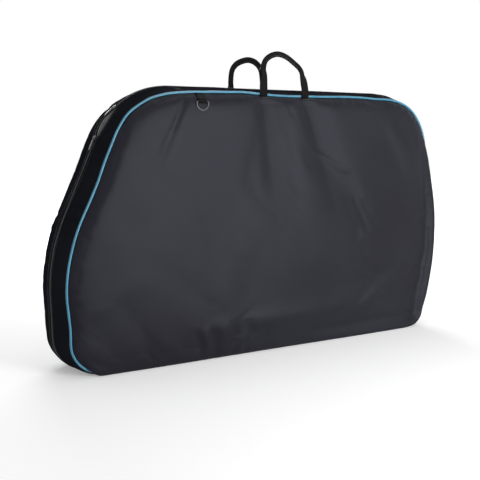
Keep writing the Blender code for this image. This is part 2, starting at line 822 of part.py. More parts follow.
def pocket_point(side, across, height, depth):
    """A point of the pocket's cloth: across runs from -1 to 1, height from 0 at the bottom to 1 at the mouth."""
    grown = min(1.0, 2 * height)
    half_width = POCKET_WIDTH / 2 * (1 - POCKET_TAPER_SHARE * (1 - grown) ** 2)
    x = -side * POCKET_X_SHARE * LENGTH + across * half_width
    z = POCKET_BOTTOM + (POCKET_MOUTH - POCKET_BOTTOM) * height
    from_side = min(1.0, half_width * (1 - abs(across)) / POCKET_RIM)
    from_bottom = min(1.0, (z - POCKET_BOTTOM) / POCKET_RIM)
    lift = POCKET_DEPTH * math.sin(math.pi / 2 * from_side) * math.sin(math.pi / 2 * from_bottom)
    seat = lining_depth() + LINING_CLOTH * STEEP_ROOM_SHARE + POCKET_SEAT
    return panel_point(side, Vector((x, z)), seat + lift + depth)


def wheel_pocket(half, side, looks, group):
    columns = [2 * k / POCKET_COLUMNS - 1 for k in range(POCKET_COLUMNS + 1)]
    levels = [k / POCKET_ROWS for k in range(POCKET_ROWS + 1)]
    rows = [[pocket_point(side, across, height, 0.0) for across in columns] for height in levels]
    sheet(f"{half}_wheel_pocket", rows, (0, side, 0), POCKET_CLOTH, looks["lining"], group)
    hem_share = 1 - HEM_WIDTH / (POCKET_MOUTH - POCKET_BOTTOM)
    proud = POCKET_CLOTH * STEEP_ROOM_SHARE + CLEARANCE
    hem = [[pocket_point(side, across, height, proud) for across in columns[1:-1]] for height in (hem_share, 1.0)]
    sheet(f"{half}_pocket_hem", hem, (0, side, 0), HEM_CLOTH, looks["webbing"], group)


def build_half(half, side, looks, group):
    foam_depth = SHELL_CLOTH * STEEP_ROOM_SHARE + CLEARANCE
    shell_rings = [PIPING_ROOM, *SHELL_INSETS]
    panel_layer(f"{half}_panel", side, shell_rings, 0.0, SHELL_CLOTH, looks["shell"], group)
    panel_layer(f"{half}_padding", side, SHELL_INSETS[1:], foam_depth, FOAM, looks["foam"], group)
    panel_layer(f"{half}_lining", side, SHELL_INSETS, lining_depth(), LINING_CLOTH, looks["lining"], group)
    piping(f"{half}_piping", side, looks["piping"], group)
    half_gusset(half, side, looks, group)
    wheel_pocket(half, side, looks, group)
    handle(half, side, looks["webbing"], group)
    for end, toward in {"left": -1, "right": 1}.items():
        x = HANDLE_X_SHARES[half] * LENGTH + toward * HANDLE_SPANS[half] / 2
        handle_foot(f"{half}_handle_foot_{end}", side, x, looks["webbing"], group)
    strap_ring(f"{half}_ring", side, looks["metal"], group)
    ring_tab(f"{half}_ring_tab", side, looks["webbing"], group)


def main():
    clear_scene()
    group = new_collection("bike_travel_bag")
    cutters = new_collection("cutters")
    looks = {
        "shell": principled("shell_nylon", (0.040, 0.040, 0.046), 0.55),
        "foam": principled("padding_foam", (0.10, 0.10, 0.11), 0.95),
        "lining": principled("lining_cloth", (0.30, 0.30, 0.31), 0.80),
        "piping": principled("piping_cord", (0.06, 0.38, 0.55), 0.45),
        "webbing": principled("webbing", (0.018, 0.018, 0.020), 0.70),
        "tape": principled("zip_tape", (0.020, 0.020, 0.022), 0.80),
        "coil": principled("zip_teeth", (0.030, 0.030, 0.034), 0.40),
        "metal": principled("plated_metal", (0.30, 0.30, 0.31), 0.30, 1.0),
        "board": principled("base_stiffener", (0.05, 0.05, 0.05), 0.60),
    }
    for half, side in SIDES.items():
        build_half(half, side, looks, group)
    zip_guard(looks["lining"], group)
    base_gusset(looks["shell"], group)
    floor = base_layers(looks, group)
    for end, share in STRAP_X_SHARES.items():
        frame_strap(f"frame_strap_{end}", share * LENGTH, floor, looks["webbing"], group)
    hinge = Vector((0, -HALF_DEPTH, BASE_LIFT))
    opening_front = pivot("front_opening", hinge, group)
    for obj in list(group.objects):
        if obj.name.startswith("front_") and obj is not opening_front:
            attach(obj, opening_front, Matrix.Translation(hinge))
    sliders = {"lower": (PARTED_PLACES[0], 1), "upper": (PARTED_PLACES[-1], -1)}
    for name, (along, opening) in sliders.items():
        slider = zip_slider(f"{name}_slider", along, opening, looks["metal"], group, cutters)
        pull = pull_tab(f"{name}_pull", along, looks["metal"], group)
        attach(pull, slider, zip_frame(along, 0.0, 0.0))
    centre = shoulder_of(CORNERS).centre
    turn = Vector((centre.x, 0, centre.y))
    attach(slider, pivot("upper_slider_turn", turn, group), Matrix.Translation(turn))


main()
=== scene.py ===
import math

import bmesh
import bpy
from mathutils import Matrix, Vector, noise


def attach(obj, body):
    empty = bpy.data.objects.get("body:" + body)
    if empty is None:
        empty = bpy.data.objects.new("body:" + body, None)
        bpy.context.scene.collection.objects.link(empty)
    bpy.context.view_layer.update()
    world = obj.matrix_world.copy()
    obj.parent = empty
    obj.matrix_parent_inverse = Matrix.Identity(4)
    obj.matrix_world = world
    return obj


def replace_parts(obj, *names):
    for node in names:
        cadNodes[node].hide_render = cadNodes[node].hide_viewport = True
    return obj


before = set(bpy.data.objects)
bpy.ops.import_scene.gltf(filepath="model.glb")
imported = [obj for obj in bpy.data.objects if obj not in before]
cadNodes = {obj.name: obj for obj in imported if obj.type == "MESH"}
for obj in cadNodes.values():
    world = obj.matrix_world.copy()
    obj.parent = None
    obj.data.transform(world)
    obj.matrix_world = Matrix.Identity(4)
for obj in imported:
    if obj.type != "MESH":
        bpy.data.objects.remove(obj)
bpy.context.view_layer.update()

scene = bpy.context.scene
sides = {"front": -1, "back": 1}

# The bag's own sizes, in metres, as the solids have them
bag = {
    "length": 1.26, "seamHeight": 0.725, "halfDepth": 0.085, "lift": 0.010, "shift": 0.001025,
    "corners": [(-0.494, 0.0, 0.118), (-0.501, 0.407, 0.617), (-0.348, 1.0, 0.295),
                (0.443, 1.0, 0.232), (0.507, 0.403, 0.870), (0.460, 0.0, 0.062)],
    "shoulder": 2, "gussetSwell": 0.016, "edgeSwell": 0.020, "edgeReach": 0.012,
    "centreSwell": 0.004, "centreReach": 0.100, "pipingRoom": 0.0028, "shellCloth": 0.0016,
    "zipEndTurn": 30, "partedStart": -0.006, "partedLength": 0.092, "partedHalfWidth": 0.012,
    "lipRise": 0.0050, "lipDrop": 0.0015, "lipReach": 0.02, "strayReach": 0.05,
}


def traceOutline():
    raised = Vector((bag["shift"], bag["lift"]))
    points = [Vector((x * bag["length"], z * bag["seamHeight"])) + raised for x, z, _ in bag["corners"]]
    arcs = []
    for k, (_, _, roundness) in enumerate(bag["corners"]):
        before, here, after = points[k - 1], points[k], points[(k + 1) % len(points)]
        arriving, leaving = (here - before).normalized(), (after - here).normalized()
        radius, turn = roundness * bag["seamHeight"], arriving.angle(leaving)
        cut = radius * math.tan(turn / 2)
        outward = Vector((-arriving.y, arriving.x))
        begin = here - arriving * cut
        arcs.append({"begin": begin, "end": here + leaving * cut, "centre": begin - outward * radius,
                     "radius": radius, "turn": turn, "angle": math.atan2(outward.y, outward.x)})
    start = (arcs[-1]["end"] + arcs[0]["begin"]) / 2
    runs, along, here = [], 0.0, start
    for arc in [*arcs, None]:
        target = arc["begin"] if arc else start
        runs.append({"from": here, "toward": (target - here).normalized(), "along": along})
        along += (target - here).length
        if arc:
            arc["along"] = along
            runs.append(arc)
            along += arc["radius"] * arc["turn"]
            here = arc["end"]
    return runs, arcs, along


runs, arcs, perimeter = traceOutline()
zipStart = arcs[0]["along"] + arcs[0]["radius"] * math.radians(bag["zipEndTurn"])
zipEnd = arcs[-1]["along"] + arcs[-1]["radius"] * (arcs[-1]["turn"] - math.radians(bag["zipEndTurn"]))
partedFrom = arcs[bag["shoulder"]]["along"] + bag["partedStart"]
partedTo = partedFrom + bag["partedLength"]


def arcPlace(k, share):
    # distance along the seam of a place on one of its arcs
    return arcs[k]["along"] + arcs[k]["radius"] * arcs[k]["turn"] * share


def seamAt(along):
    # point and outward normal on the seam line, in the X-Z plane
    along %= perimeter
    run = next((r for r in reversed(runs) if r["along"] <= along), runs[0])
    if "centre" in run:
        angle = run["angle"] - (along - run["along"]) / run["radius"]
        normal = Vector((math.cos(angle), math.sin(angle)))
        return run["centre"] + normal * run["radius"], normal
    toward = run["toward"]
    return run["from"] + toward * (along - run["along"]), Vector((-toward.y, toward.x))


def alongTop(x):
    # distance along the seam of a place on its straight top run
    return arcPlace(2, 1) + x - arcs[2]["end"].x


def smoothTable(table, place):
    # Catmull-Rom curve through (place, value) pairs
    if place <= table[0][0]:
        return table[0][1]
    if place >= table[-1][0]:
        return table[-1][1]
    k = next(i for i in range(len(table) - 1) if place <= table[i + 1][0])
    before, near, far, after = (table[max(0, k - 1)], table[k], table[k + 1], table[min(len(table) - 1, k + 2)])
    width = far[0] - near[0]
    t = (place - near[0]) / width
    slopeNear = (far[1] - before[1]) / max(1e-9, far[0] - before[0]) * width
    slopeFar = (after[1] - near[1]) / max(1e-9, after[0] - near[0]) * width
    t2, t3 = t * t, t * t * t
    return ((2 * t3 - 3 * t2 + 1) * near[1] + (t3 - 2 * t2 + t) * slopeNear
            + (3 * t2 - 2 * t3) * far[1] + (t3 - t2) * slopeFar)


def smoothStep(low, high, value):
    t = max(0.0, min(1.0, (value - low) / (high - low)))
    return t * t * (3 - 2 * t)


def bell(off, width):
    # 1 in the middle, and next to nothing from twice that width on
    return math.exp(-(off / width) ** 2)


def ripple(*place):
    return noise.noise(Vector((*place, 0.0, 0.0)[:3]))


# How far the sewn edge strays from a true line: (metres along the seam, mm outwards)
seamStray = {
    "front": [(0.50, 0), (0.57, 0.6), (0.60, -0.4), (0.64, -0.2), (0.675, -1.2), (0.715, -2.0), (0.75, 0.6),
              (0.785, 2.9), (0.86, 2.7), (0.92, 1.3), (0.96, 1.7), (1.0, 1.2), (1.05, -0.7), (1.095, -1.2),
              (1.145, 1.1), (1.195, 1.5), (1.25, 2.0), (1.289, 3.2), (1.32, 0.6), (1.36, -1.6), (1.40, -4.6),
              (1.44, -5.8), (1.49, -3.2), (1.54, -1.6), (1.60, 0.0), (1.645, 1.1), (1.694, -1.4), (1.748, -4.6),
              (1.80, -5.8), (1.835, -5.2), (1.92, -4.2), (2.01, -2.2), (2.07, -2.2), (2.134, -5.2), (2.20, -5.8),
              (2.24, -4.4), (2.28, -1.2), (2.33, -1.0), (2.44, -1.6), (2.60, 0.8), (2.72, -1.0), (2.86, 0.6),
              (3.0, 0)],
    "back": [(0.50, 0), (0.60, -2.0), (0.70, -5.0), (0.84, -3.6), (0.98, -5.4), (1.12, -4.2), (1.26, -3.0),
             (1.38, -3.4), (1.48, -3.6), (1.60, -0.8), (1.70, -3.2), (1.78, -4.4), (1.87, -3.0), (1.99, -1.0),
             (2.14, -4.2), (2.24, -3.4), (2.40, -0.6), (2.58, 1.2), (2.76, -1.2), (3.0, 0)],
}
# How much fuller (+) or flatter (-) the middle of the gusset stands along the zip
gussetFullness = [(0.58, 0), (0.70, 0.05), (0.83, 0.12), (0.92, 0.0), (0.99, 0.30), (1.06, -0.05), (1.13, -0.30),
                  (1.21, 0.0), (1.30, 0.05), (1.45, -0.20), (1.60, 0.05), (1.75, -0.25), (1.95, 0.05),
                  (2.15, -0.10), (2.35, 0.10), (2.60, -0.12), (2.80, 0.10), (3.0, 0)]


def strayAt(side, along, inset=0.0):
    # how far the cloth strays there in metres, less and less inside the seam
    stray = smoothTable(seamStray["front" if side < 0 else "back"], along % perimeter) / 1000
    return stray * math.exp(-inset / bag["strayReach"])


def facesDown(normal):
    # 1 under the bag, 0 at its ends and on top
    return max(0.0, -normal.y) ** 2


def opened(along):
    # how far open the zip is between its two sliders, from 0 to 1
    share = (along - partedFrom) / bag["partedLength"]
    return (4 * share * (1 - share)) ** 0.7 if 0 < share < 1 else 0.0


def parting(side, along):
    # the lip at the front hangs further away
    return bag["partedHalfWidth"] * (1.5 if side < 0 else 0.5) * opened(along)


# Creases that run across the gusset: (distance along, curve, half width, how deep, which half)
gussetCreases = [(1.010, 0.012, 0.0045, -0.0034, -1), (0.992, 0.010, 0.010, 0.0026, -1),
                 (0.974, 0.014, 0.0050, -0.0038, -1), (0.958, 0.010, 0.009, 0.0018, -1),
                 (1.335, -0.008, 0.007, -0.0022, -1), (1.165, 0.010, 0.009, -0.0018, -1),
                 (0.700, 0.010, 0.008, -0.0016, -1), (1.000, -0.010, 0.006, -0.0032, 1),
                 (0.968, -0.012, 0.008, 0.0022, 1), (1.300, 0.010, 0.007, -0.0024, 1),
                 (2.225, 0.012, 0.007, -0.0026, 1), (2.260, 0.008, 0.009, 0.0018, 1),
                 (2.240, -0.010, 0.006, -0.0028, -1), (2.520, 0.012, 0.008, -0.0024, -1),
                 (2.560, 0.010, 0.008, -0.0024, 1), (2.850, 0.010, 0.007, -0.0018, -1)]
# The gusset is sewn from strips, which meet here. Beside each panel's seam it stands a little fuller
gussetJoins = [arcPlace(2, 1), arcPlace(3, 0), arcPlace(3, 1)]
gussetPuff = {-1: [(0.58, 0.0010), (0.9, 0.0020), (1.4, 0.0015), (2.2, 0.0010), (2.7, 0.0015), (3.0, 0.0010)],
              1: [(0.58, 0.0020), (0.75, 0.0060), (1.0, 0.0064), (1.25, 0.0060), (1.42, 0.0030), (2.1, 0.0012),
                  (2.4, 0.0030), (2.8, 0.0035), (3.0, 0.0015)]}
# Where across the gusset that fullness lies, the joins' grooves, and the broad and fine waves of the cloth
gussetWaves = {"puffAt": 0.84, "puffReach": 0.16, "joinDepth": 0.0016, "joinHalf": 0.0028, "creaseReach": 0.06,
               "fine": 0.0011, "broad": 0.0016}


def gussetRelief(side, along, share):
    # creases and small ripples of the gusset cloth: nothing at the zip, nothing at the seam
    held = smoothStep(0.16, 0.34, share) * smoothStep(1.0, 0.88, share)
    if held <= 0:
        return 0.0
    puffed = bell(share - gussetWaves["puffAt"], gussetWaves["puffReach"])
    lift = smoothTable(gussetPuff[side], along % perimeter) * puffed
    for join in gussetJoins:
        lift -= gussetWaves["joinDepth"] * bell(along - join, gussetWaves["joinHalf"])
    for place, curve, width, depth, half in gussetCreases:
        if half == side and abs(along - place) < gussetWaves["creaseReach"]:
            lift += depth * bell(along - place - curve * (1 - (2 * share - 1.2) ** 2), width)
    lift += gussetWaves["fine"] * ripple(along * 34, side * 7.1 + share * 1.5) * smoothStep(0.55, 0.95, share)
    lift += gussetWaves["broad"] * ripple(along * 9 + 3.3, side * 3.7 + share * 2.2)
    return lift * held


def gussetPoint(along, y, depth, relief=False):
    # a place across the gusset, 0 at the zip, that deep under its surface
    point, normal = seamAt(along)
    side, under, share = -1 if y < 0 else 1, facesDown(normal), min(1.0, abs(y) / bag["halfDepth"])
    full = 1 + smoothTable(gussetFullness, along % perimeter) * (1 - share) ** 0.5 * smoothStep(0.09, 0.24, share)
    height = bag["gussetSwell"] * (1 - share * share) * full + strayAt(side, along) * share ** 3
    if relief:
        height += gussetRelief(side, along, share)
    near = math.exp(-max(0, abs(y) / bag["lipReach"] - 1) ** 2)
    lip = opened(along) * (bag["lipRise"] * smoothStep(-0.012, 0.008, y) - bag["lipDrop"]) * near
    height = height * (1 - under) + bag["lift"] * (1 - smoothStep(0.80, 1.0, share)) * under + lip - depth
    place = point + normal * height
    return Vector((place.x, y, place.y))


def zipFrame(along, y, depth):
    # X clockwise along the zip, Y across, Z outwards
    _, normal = seamAt(along)
    axes = Matrix(((normal.y, 0, -normal.x), (0, 1, 0), (normal.x, 0, normal.y))).transposed().to_4x4()
    return Matrix.Translation(gussetPoint(along, y, depth)) @ axes


# Panels: rings from the seam inwards, mapped from a square grid so that no pole is left
panelGrid = {"half": 80, "rings": [0.0028, 0.0042, 0.0058, 0.0076, 0.0096, 0.012, 0.0148, 0.018, 0.0216, 0.0256,
                                   0.0300, 0.0350], "middle": (0.0, 0.3725), "pressure": 0.35, "frames": 16,
             "growth": -0.010, "cap": 0.0045, "held": 0.003, "heldRolled": 0.024, "cloth": 0.0012}
# Folds of a panel: from (x, z), to (x, z), half width, how far out, how much wider to the left of its way
panelFolds = {
    "front": [
        ((-0.050, 0.735), (-0.015, 0.480), 0.033, -0.0104, 1.9), ((0.090, 0.735), (0.200, 0.450), 0.033, -0.0098, 1.7),
        ((0.003, 0.714), (0.022, 0.672), 0.0045, -0.0020), ((0.025, 0.714), (0.048, 0.672), 0.0050, -0.0022),
        ((-0.073, 0.716), (-0.071, 0.675), 0.0050, -0.0020), ((0.118, 0.714), (0.140, 0.665), 0.0060, -0.0014),
        ((-0.288, 0.735), (-0.372, 0.560), 0.0100, -0.0026), ((-0.262, 0.735), (-0.340, 0.580), 0.016, 0.0006),
        ((0.281, 0.425), (0.322, 0.356), 0.0085, -0.0024), ((0.145, 0.563), (0.241, 0.512), 0.012, 0.0022),
        ((-0.258, 0.018), (-0.268, 0.082), 0.0070, -0.0032), ((-0.236, 0.018), (-0.240, 0.085), 0.0090, 0.0024),
        ((-0.210, 0.018), (-0.217, 0.082), 0.0075, -0.0036), ((-0.184, 0.018), (-0.178, 0.088), 0.0100, 0.0026),
        ((-0.158, 0.018), (-0.142, 0.084), 0.0075, -0.0036), ((-0.134, 0.018), (-0.112, 0.078), 0.0090, 0.0022),
        ((-0.112, 0.018), (-0.086, 0.068), 0.0065, -0.0028), ((-0.060, 0.018), (-0.040, 0.064), 0.0075, -0.0020),
        ((-0.150, 0.096), (0.420, 0.112), 0.030, 0.0036), ((0.420, 0.640), (0.520, 0.520), 0.030, 0.0024),
        ((-0.560, 0.170), (-0.420, 0.250), 0.034, 0.0022), ((0.360, 0.120), (0.540, 0.230), 0.030, 0.0026),
        ((-0.440, 0.560), (-0.300, 0.430), 0.036, -0.0022), ((0.300, 0.250), (0.420, 0.160), 0.018, -0.0022),
    ],
    "back": [
        ((-0.050, 0.735), (-0.070, 0.470), 0.038, -0.0056, 1.6), ((0.095, 0.735), (0.150, 0.460), 0.038, -0.0058, 1.6),
        ((0.295, 0.728), (0.350, 0.610), 0.008, -0.0026), ((-0.045, 0.714), (-0.070, 0.660), 0.006, -0.0018),
        ((0.180, 0.018), (0.190, 0.085), 0.0075, -0.0034), ((0.206, 0.018), (0.210, 0.085), 0.0095, 0.0024),
        ((0.232, 0.018), (0.240, 0.080), 0.0075, -0.0034), ((-0.060, 0.018), (-0.070, 0.078), 0.008, -0.0030),
        ((-0.360, 0.018), (-0.352, 0.070), 0.008, -0.0026), ((-0.200, 0.100), (0.420, 0.090), 0.030, 0.0036),
        ((-0.330, 0.360), (-0.210, 0.300), 0.014, -0.0020), ((0.320, 0.480), (0.470, 0.360), 0.034, 0.0024),
        ((-0.540, 0.200), (-0.380, 0.300), 0.030, -0.0024), ((-0.440, 0.600), (-0.330, 0.470), 0.020, -0.0022),
    ],
}


def panelSwell(inset):
    inside = max(0.0, inset - bag["pipingRoom"])
    return (bag["shellCloth"] / 2 + bag["edgeSwell"] * (1 - math.exp(-inside / bag["edgeReach"]))
            + bag["centreSwell"] * (1 - math.exp(-inside / bag["centreReach"])))


# Where a panel hangs slacker: from (x, z), towards (x, z), how far in, over how long a way
panelSlack = {"front": [((0.05, 0.12), (0.629, -0.778), -0.016, 0.36), ((-0.30, 0.12), (-0.60, -0.80), -0.004, 0.30),
                        ((0.22, 0.48), (0.90, -0.43), -0.008, 0.45)],
              "back": [((-0.05, 0.14), (-0.629, -0.778), -0.009, 0.40), ((0.30, 0.50), (0.80, 0.60), -0.004, 0.30)]}
# How strong the folds above are, the broad and fine waves of the cloth, and the gathers this far inside the seam
panelWaves = {"slackFrom": -0.08, "foldGain": 1.3, "broad": 0.0034, "fine": 0.0011, "gather": 0.0017,
              "gatherAt": 0.011}


def panelRelief(half, x, z, along, inset):
    side = sides[half]
    place = Vector((x, z))
    lift = sum(depth * smoothStep(panelWaves["slackFrom"], reach, (place - Vector(start)).dot(Vector(toward)))
               for start, toward, depth, reach in panelSlack[half])
    for start, end, width, height, *skew in panelFolds[half]:
        start, run = Vector(start), Vector(end) - Vector(start)
        t = (place - start).dot(run) / run.length_squared
        if not -0.6 < t < 1.6:
            continue
        off = (place - start - run * t).length / (width * (0.75 + 0.5 * max(0, min(1, t))))
        if skew and run.x * (place.y - start.y) > run.y * (place.x - start.x):
            off /= skew[0]
        if off < 3:
            lift += (panelWaves["foldGain"] * height * math.exp(-off * off) * smoothStep(-0.35, 0.15, t)
                     * smoothStep(1.35, 0.70, t))
    lift += (panelWaves["broad"] * ripple(x * 3.6 + 5, z * 4.2, side * 3.1)
             + panelWaves["fine"] * ripple(x * 12, z * 10 + 4, side * 5.7))
    lift *= smoothStep(0.004, 0.030, inset)
    # gathers drawn in by the seam, stronger in some stretches of it than in others
    tight = 0.45 + 0.55 * smoothStep(-0.15, 0.35, ripple(along * 3.1, side * 2.3))
    gather = ripple(along * 46, side * 9.1) + 0.6 * ripple(along * 83, side * 4.3 + 2)
    near = inset / panelWaves["gatherAt"]
    return lift + panelWaves["gather"] * tight * gather * near * math.exp(1 - near)


def panelPoint(side, x, z, along, inset, depth, relief=True):
    half = "front" if side < 0 else "back"
    lift = panelRelief(half, x, z, along, inset) if relief else 0.0
    return Vector((x, side * (bag["halfDepth"] + panelSwell(inset) + lift - depth), z))


straightSides = [(run["from"], Vector((-run["toward"].y, run["toward"].x))) for run in runs[:-1] if "toward" in run]


def softInset(x, z, inset):
    # the distance inside the seam, rounded off where two sides are equally near
    nearness = sum(max(0.001, (start - Vector((x, z))).dot(normal)) ** -5 for start, normal in straightSides)
    mix = smoothStep(0.018, 0.075, inset)
    return inset * (1 - mix) + nearness ** -0.2 * mix


def insetPlace(side, along, inset):
    # a place that far inside the sewn edge, following the way it strays
    point, normal = seamAt(along)
    return point + normal * (strayAt(side, along, inset) - inset)


# Where the panel bulges over its piping and hides it: (distance along, share)
rollShare = {"front": [(0.0, 1), (0.545, 1), (0.575, 0.6), (0.61, 0), (2.36, 0), (2.46, 0.75), (2.60, 1), (2.90, 1),
                       (2.97, 0.5), (3.01, 0.6), (3.06, 1), (3.6, 1)],
             "back": [(0.0, 0.8), (0.545, 0.8), (0.61, 0), (2.50, 0), (2.62, 0.6), (2.85, 0.6), (2.97, 0.2),
                      (3.06, 0.8), (3.6, 0.8)]}
# The way it goes there: (inset, how far out, how far inside the seam)
roll = [(0.0028, 0.0010, 0.0036), (0.0042, 0.0047, 0.0024), (0.0058, 0.0062, -0.0004), (0.0076, 0.0074, -0.0028),
        (0.0096, 0.0094, -0.0042), (0.0120, 0.0122, -0.0036), (0.0148, 0.0150, -0.0004), (0.0180, 0.0167, 0.0050),
        (0.0216, 0.0180, 0.0115), (0.0256, 0.0190, 0.0190), (0.0300, 0.0199, 0.0270), (0.0350, 0.0205, 0.0350)]
rollOut, rollIn = [(k, out) for k, out, _ in roll], [(k, within) for k, _, within in roll]


def rolled(half, point, along, inset):
    weight = smoothTable(rollShare[half], along % perimeter)
    if weight <= 0 or inset >= roll[-1][0]:
        return point
    side, (seam, normal) = sides[half], seamAt(along)
    out, within = smoothTable(rollOut, inset), smoothTable(rollIn, inset)
    if within < 0:
        within *= 1 + 0.9 * facesDown(normal)
    spot = seam + normal * (strayAt(side, along, inset) - within)
    lift = abs(point.y) - bag["halfDepth"] - panelSwell(inset)
    lift *= 0.6 + 0.4 * smoothStep(0.018, 0.035, inset)
    return point.lerp(Vector((spot.x, side * (bag["halfDepth"] + out + lift), spot.y)), weight)


def gridPlaces(side, insets, half):
    # (x, z, along, inset) for every point of the square grid
    middle = Vector(panelGrid["middle"])
    turns = [arcPlace(k, 0.5) for k in (0, 2, 3, 5)]
    turns.append(turns[0] + perimeter)
    inner = half - len(insets)
    table = []
    for row in range(-half, half + 1):
        line = []
        for column in range(-half, half + 1):
            reach = max(abs(row), abs(column))
            if reach == 0:
                line.append((middle.x, middle.y, 0.0, softInset(middle.x, middle.y, 1.0)))
                continue
            u, v = column / reach, row / reach
            if u == -1 and v < 1:
                quarter, t = 0, (v + 1) / 2
            elif v == 1 and u < 1:
                quarter, t = 1, (u + 1) / 2
            elif u == 1 and v > -1:
                quarter, t = 2, (1 - v) / 2
            else:
                quarter, t = 3, (1 - u) / 2
            along = turns[quarter] + (turns[quarter + 1] - turns[quarter]) * t
            ring = half - reach
            if ring < len(insets):
                place, inset = insetPlace(side, along, insets[ring]), insets[ring]
            else:
                share = reach / (inner + 1)
                outer = insetPlace(side, along, insets[-1])
                _, normal = seamAt(along)
                place = middle + (outer - middle) * share
                inset = insets[-1] + (1 - share) * (outer - middle).dot(normal)
            line.append((place.x, place.y, along, softInset(place.x, place.y, inset)))
        table.append(line)
    return table


# Meshes


def flat(rows):
    return [item for row in rows for item in row]


def linked(name, data):
    obj = bpy.data.objects.new(name, data)
    scene.collection.objects.link(obj)
    return obj


def newObject(name, mesh, material):
    mesh.materials.append(material)
    mesh.shade_smooth()
    return linked(name, mesh)


def meshOf(name, points, faces, uvs=()):
    # uvs: one for each point, in metres of cloth
    mesh = bpy.data.meshes.new(name)
    mesh.from_pydata(points, [], faces)
    if uvs:
        layer = mesh.uv_layers.new(name="cloth")
        for loop in mesh.loops:
            layer.data[loop.index].uv = uvs[loop.vertex_index]
    return mesh


def shaped(mesh, build=None, place=None):
    # lets build add to the mesh, turns all faces outwards, then moves it to its place
    bm = bmesh.new()
    bm.from_mesh(mesh)
    if build:
        build(bm)
    bmesh.ops.recalc_face_normals(bm, faces=bm.faces)
    if place:
        bm.transform(place)
    bm.to_mesh(mesh)
    bm.free()
    return mesh


def gridFaces(count, width):
    return [(r * width + c, r * width + c + 1, (r + 1) * width + c + 1, (r + 1) * width + c)
            for r in range(count - 1) for c in range(width - 1)]


def faced(points, faces, mid, facing):
    # the faces, turned over if the middle one looks away from facing
    normal = (points[mid[1]] - points[mid[0]]).cross(points[mid[2]] - points[mid[0]])
    return [face[::-1] for face in faces] if normal.dot(Vector(facing)) < 0 else faces


def clothGrid(name, rows, uvRows, facing, material):
    # an open sheet through rows of points
    points, faces = flat(rows), gridFaces(len(rows), len(rows[0]))
    faces = faced(points, faces, faces[len(faces) // 2], facing)
    return newObject(name, meshOf(name, points, faces, flat(uvRows)), material)


def closedGrid(name, outer, inner, uvRows, facing, material):
    # a pad: an outer and an inner sheet of the same grid, joined round the rim
    count, width = len(outer), len(outer[0])
    points, top, shift = flat(outer) + flat(inner), gridFaces(count, width), count * width
    rim = [*range(width), *(r * width + width - 1 for r in range(1, count)),
           *((count - 1) * width + c for c in range(width - 2, -1, -1)), *(r * width for r in range(count - 2, 0, -1))]
    faces = top + [tuple(shift + k for k in face[::-1]) for face in top]
    faces += [(near, near + shift, far + shift, far) for near, far in zip(rim, rim[1:] + rim[:1])]
    faces = faced(points, faces, top[len(top) // 2], facing)
    return newObject(name, meshOf(name, points, faces, flat(uvRows) * 2), material)


def thicken(obj, thickness, offset=-1.0):
    wall = obj.modifiers.new("wall", "SOLIDIFY")
    wall.thickness, wall.offset, wall.use_even_offset = thickness, offset, True
    return obj


settling = {"quality": 4, "mass": 0.12, "tension_stiffness": 18, "compression_stiffness": 12, "shear_stiffness": 6,
            "bending_stiffness": 0.12, "tension_damping": 12, "compression_damping": 12, "vertex_group_mass": "sewn",
            "pin_stiffness": 60, "use_pressure": True}


def drape(obj, pinned, values):
    # lets the cloth settle between its sewn edges, then keeps the new shape within cap of the old one
    group = obj.vertex_groups.new(name="sewn")
    group.add(pinned, 1.0, "REPLACE")
    cloth = obj.modifiers.new("cloth", "CLOTH")
    changes = {**settling, "shrink_min": values["growth"], "uniform_pressure_force": values["pressure"]}
    for key, value in changes.items():
        setattr(cloth.settings, key, value)
    cloth.settings.effector_weights.gravity = 0.0
    cloth.collision_settings.use_collision = False
    cloth.point_cache.frame_start, cloth.point_cache.frame_end = 1, values["frames"]
    start = [vertex.co.copy() for vertex in obj.data.vertices]
    for step in range(1, values["frames"] + 1):
        scene.frame_set(step)
    settled = obj.evaluated_get(bpy.context.evaluated_depsgraph_get()).data
    moved = [after.co - before for after, before in zip(settled.vertices, start)]
    obj.modifiers.remove(cloth)
    obj.vertex_groups.remove(group)
    fixed, cap = set(pinned), values["cap"]
    for vertex, before, move in zip(obj.data.vertices, start, moved):
        if vertex.index not in fixed and move.length > 0:
            vertex.co = before + move * (cap / (cap + move.length))
    scene.frame_set(1)
    print("draped", obj.name, "largest move, mm:", round(1000 * max(m.length for m in moved), 1))


def loft(name, sections, material, uvRows=(), closedPath=False):
    # a solid through closed sections of equal count
    count, total = len(sections[0]), len(sections)
    faces = []
    for s in range(total if closedPath else total - 1):
        near, far = s * count, ((s + 1) % total) * count
        faces += [(near + k, near + (k + 1) % count, far + (k + 1) % count, far + k) for k in range(count)]
    if not closedPath:
        faces += [tuple(range(count))[::-1], tuple(range((total - 1) * count, total * count))]
    return newObject(name, shaped(meshOf(name, flat(sections), faces, flat(uvRows))), material)


def closedWire(name, points, radius, material, sides):
    # a round bar along a closed path, each ring square to it
    sections, side = [], None
    for k, point in enumerate(points):
        toward = (points[(k + 1) % len(points)] - points[k - 1]).normalized()
        if side is None:
            side = toward.orthogonal().normalized()
        side = (side - toward * side.dot(toward)).normalized()
        up = toward.cross(side)
        turns = [2 * math.pi * s / sides for s in range(sides)]
        sections.append([point + radius * (side * math.cos(t) + up * math.sin(t)) for t in turns])
    return loft(name, sections, material, closedPath=True)


# Nodes of materials and of Geometry Nodes


def fill(tree, made, wired):
    # each input takes its value, or a link from the socket given
    for key, source in dict(wired).items():
        if isinstance(source, bpy.types.NodeSocket):
            tree.links.new(source, made.inputs[key])
        else:
            made.inputs[key].default_value = source
    return made


def node(tree, kind, wired=(), **fixed):
    made = tree.nodes.new(kind)
    for key, value in fixed.items():
        setattr(made, key, value)
    return fill(tree, made, wired)


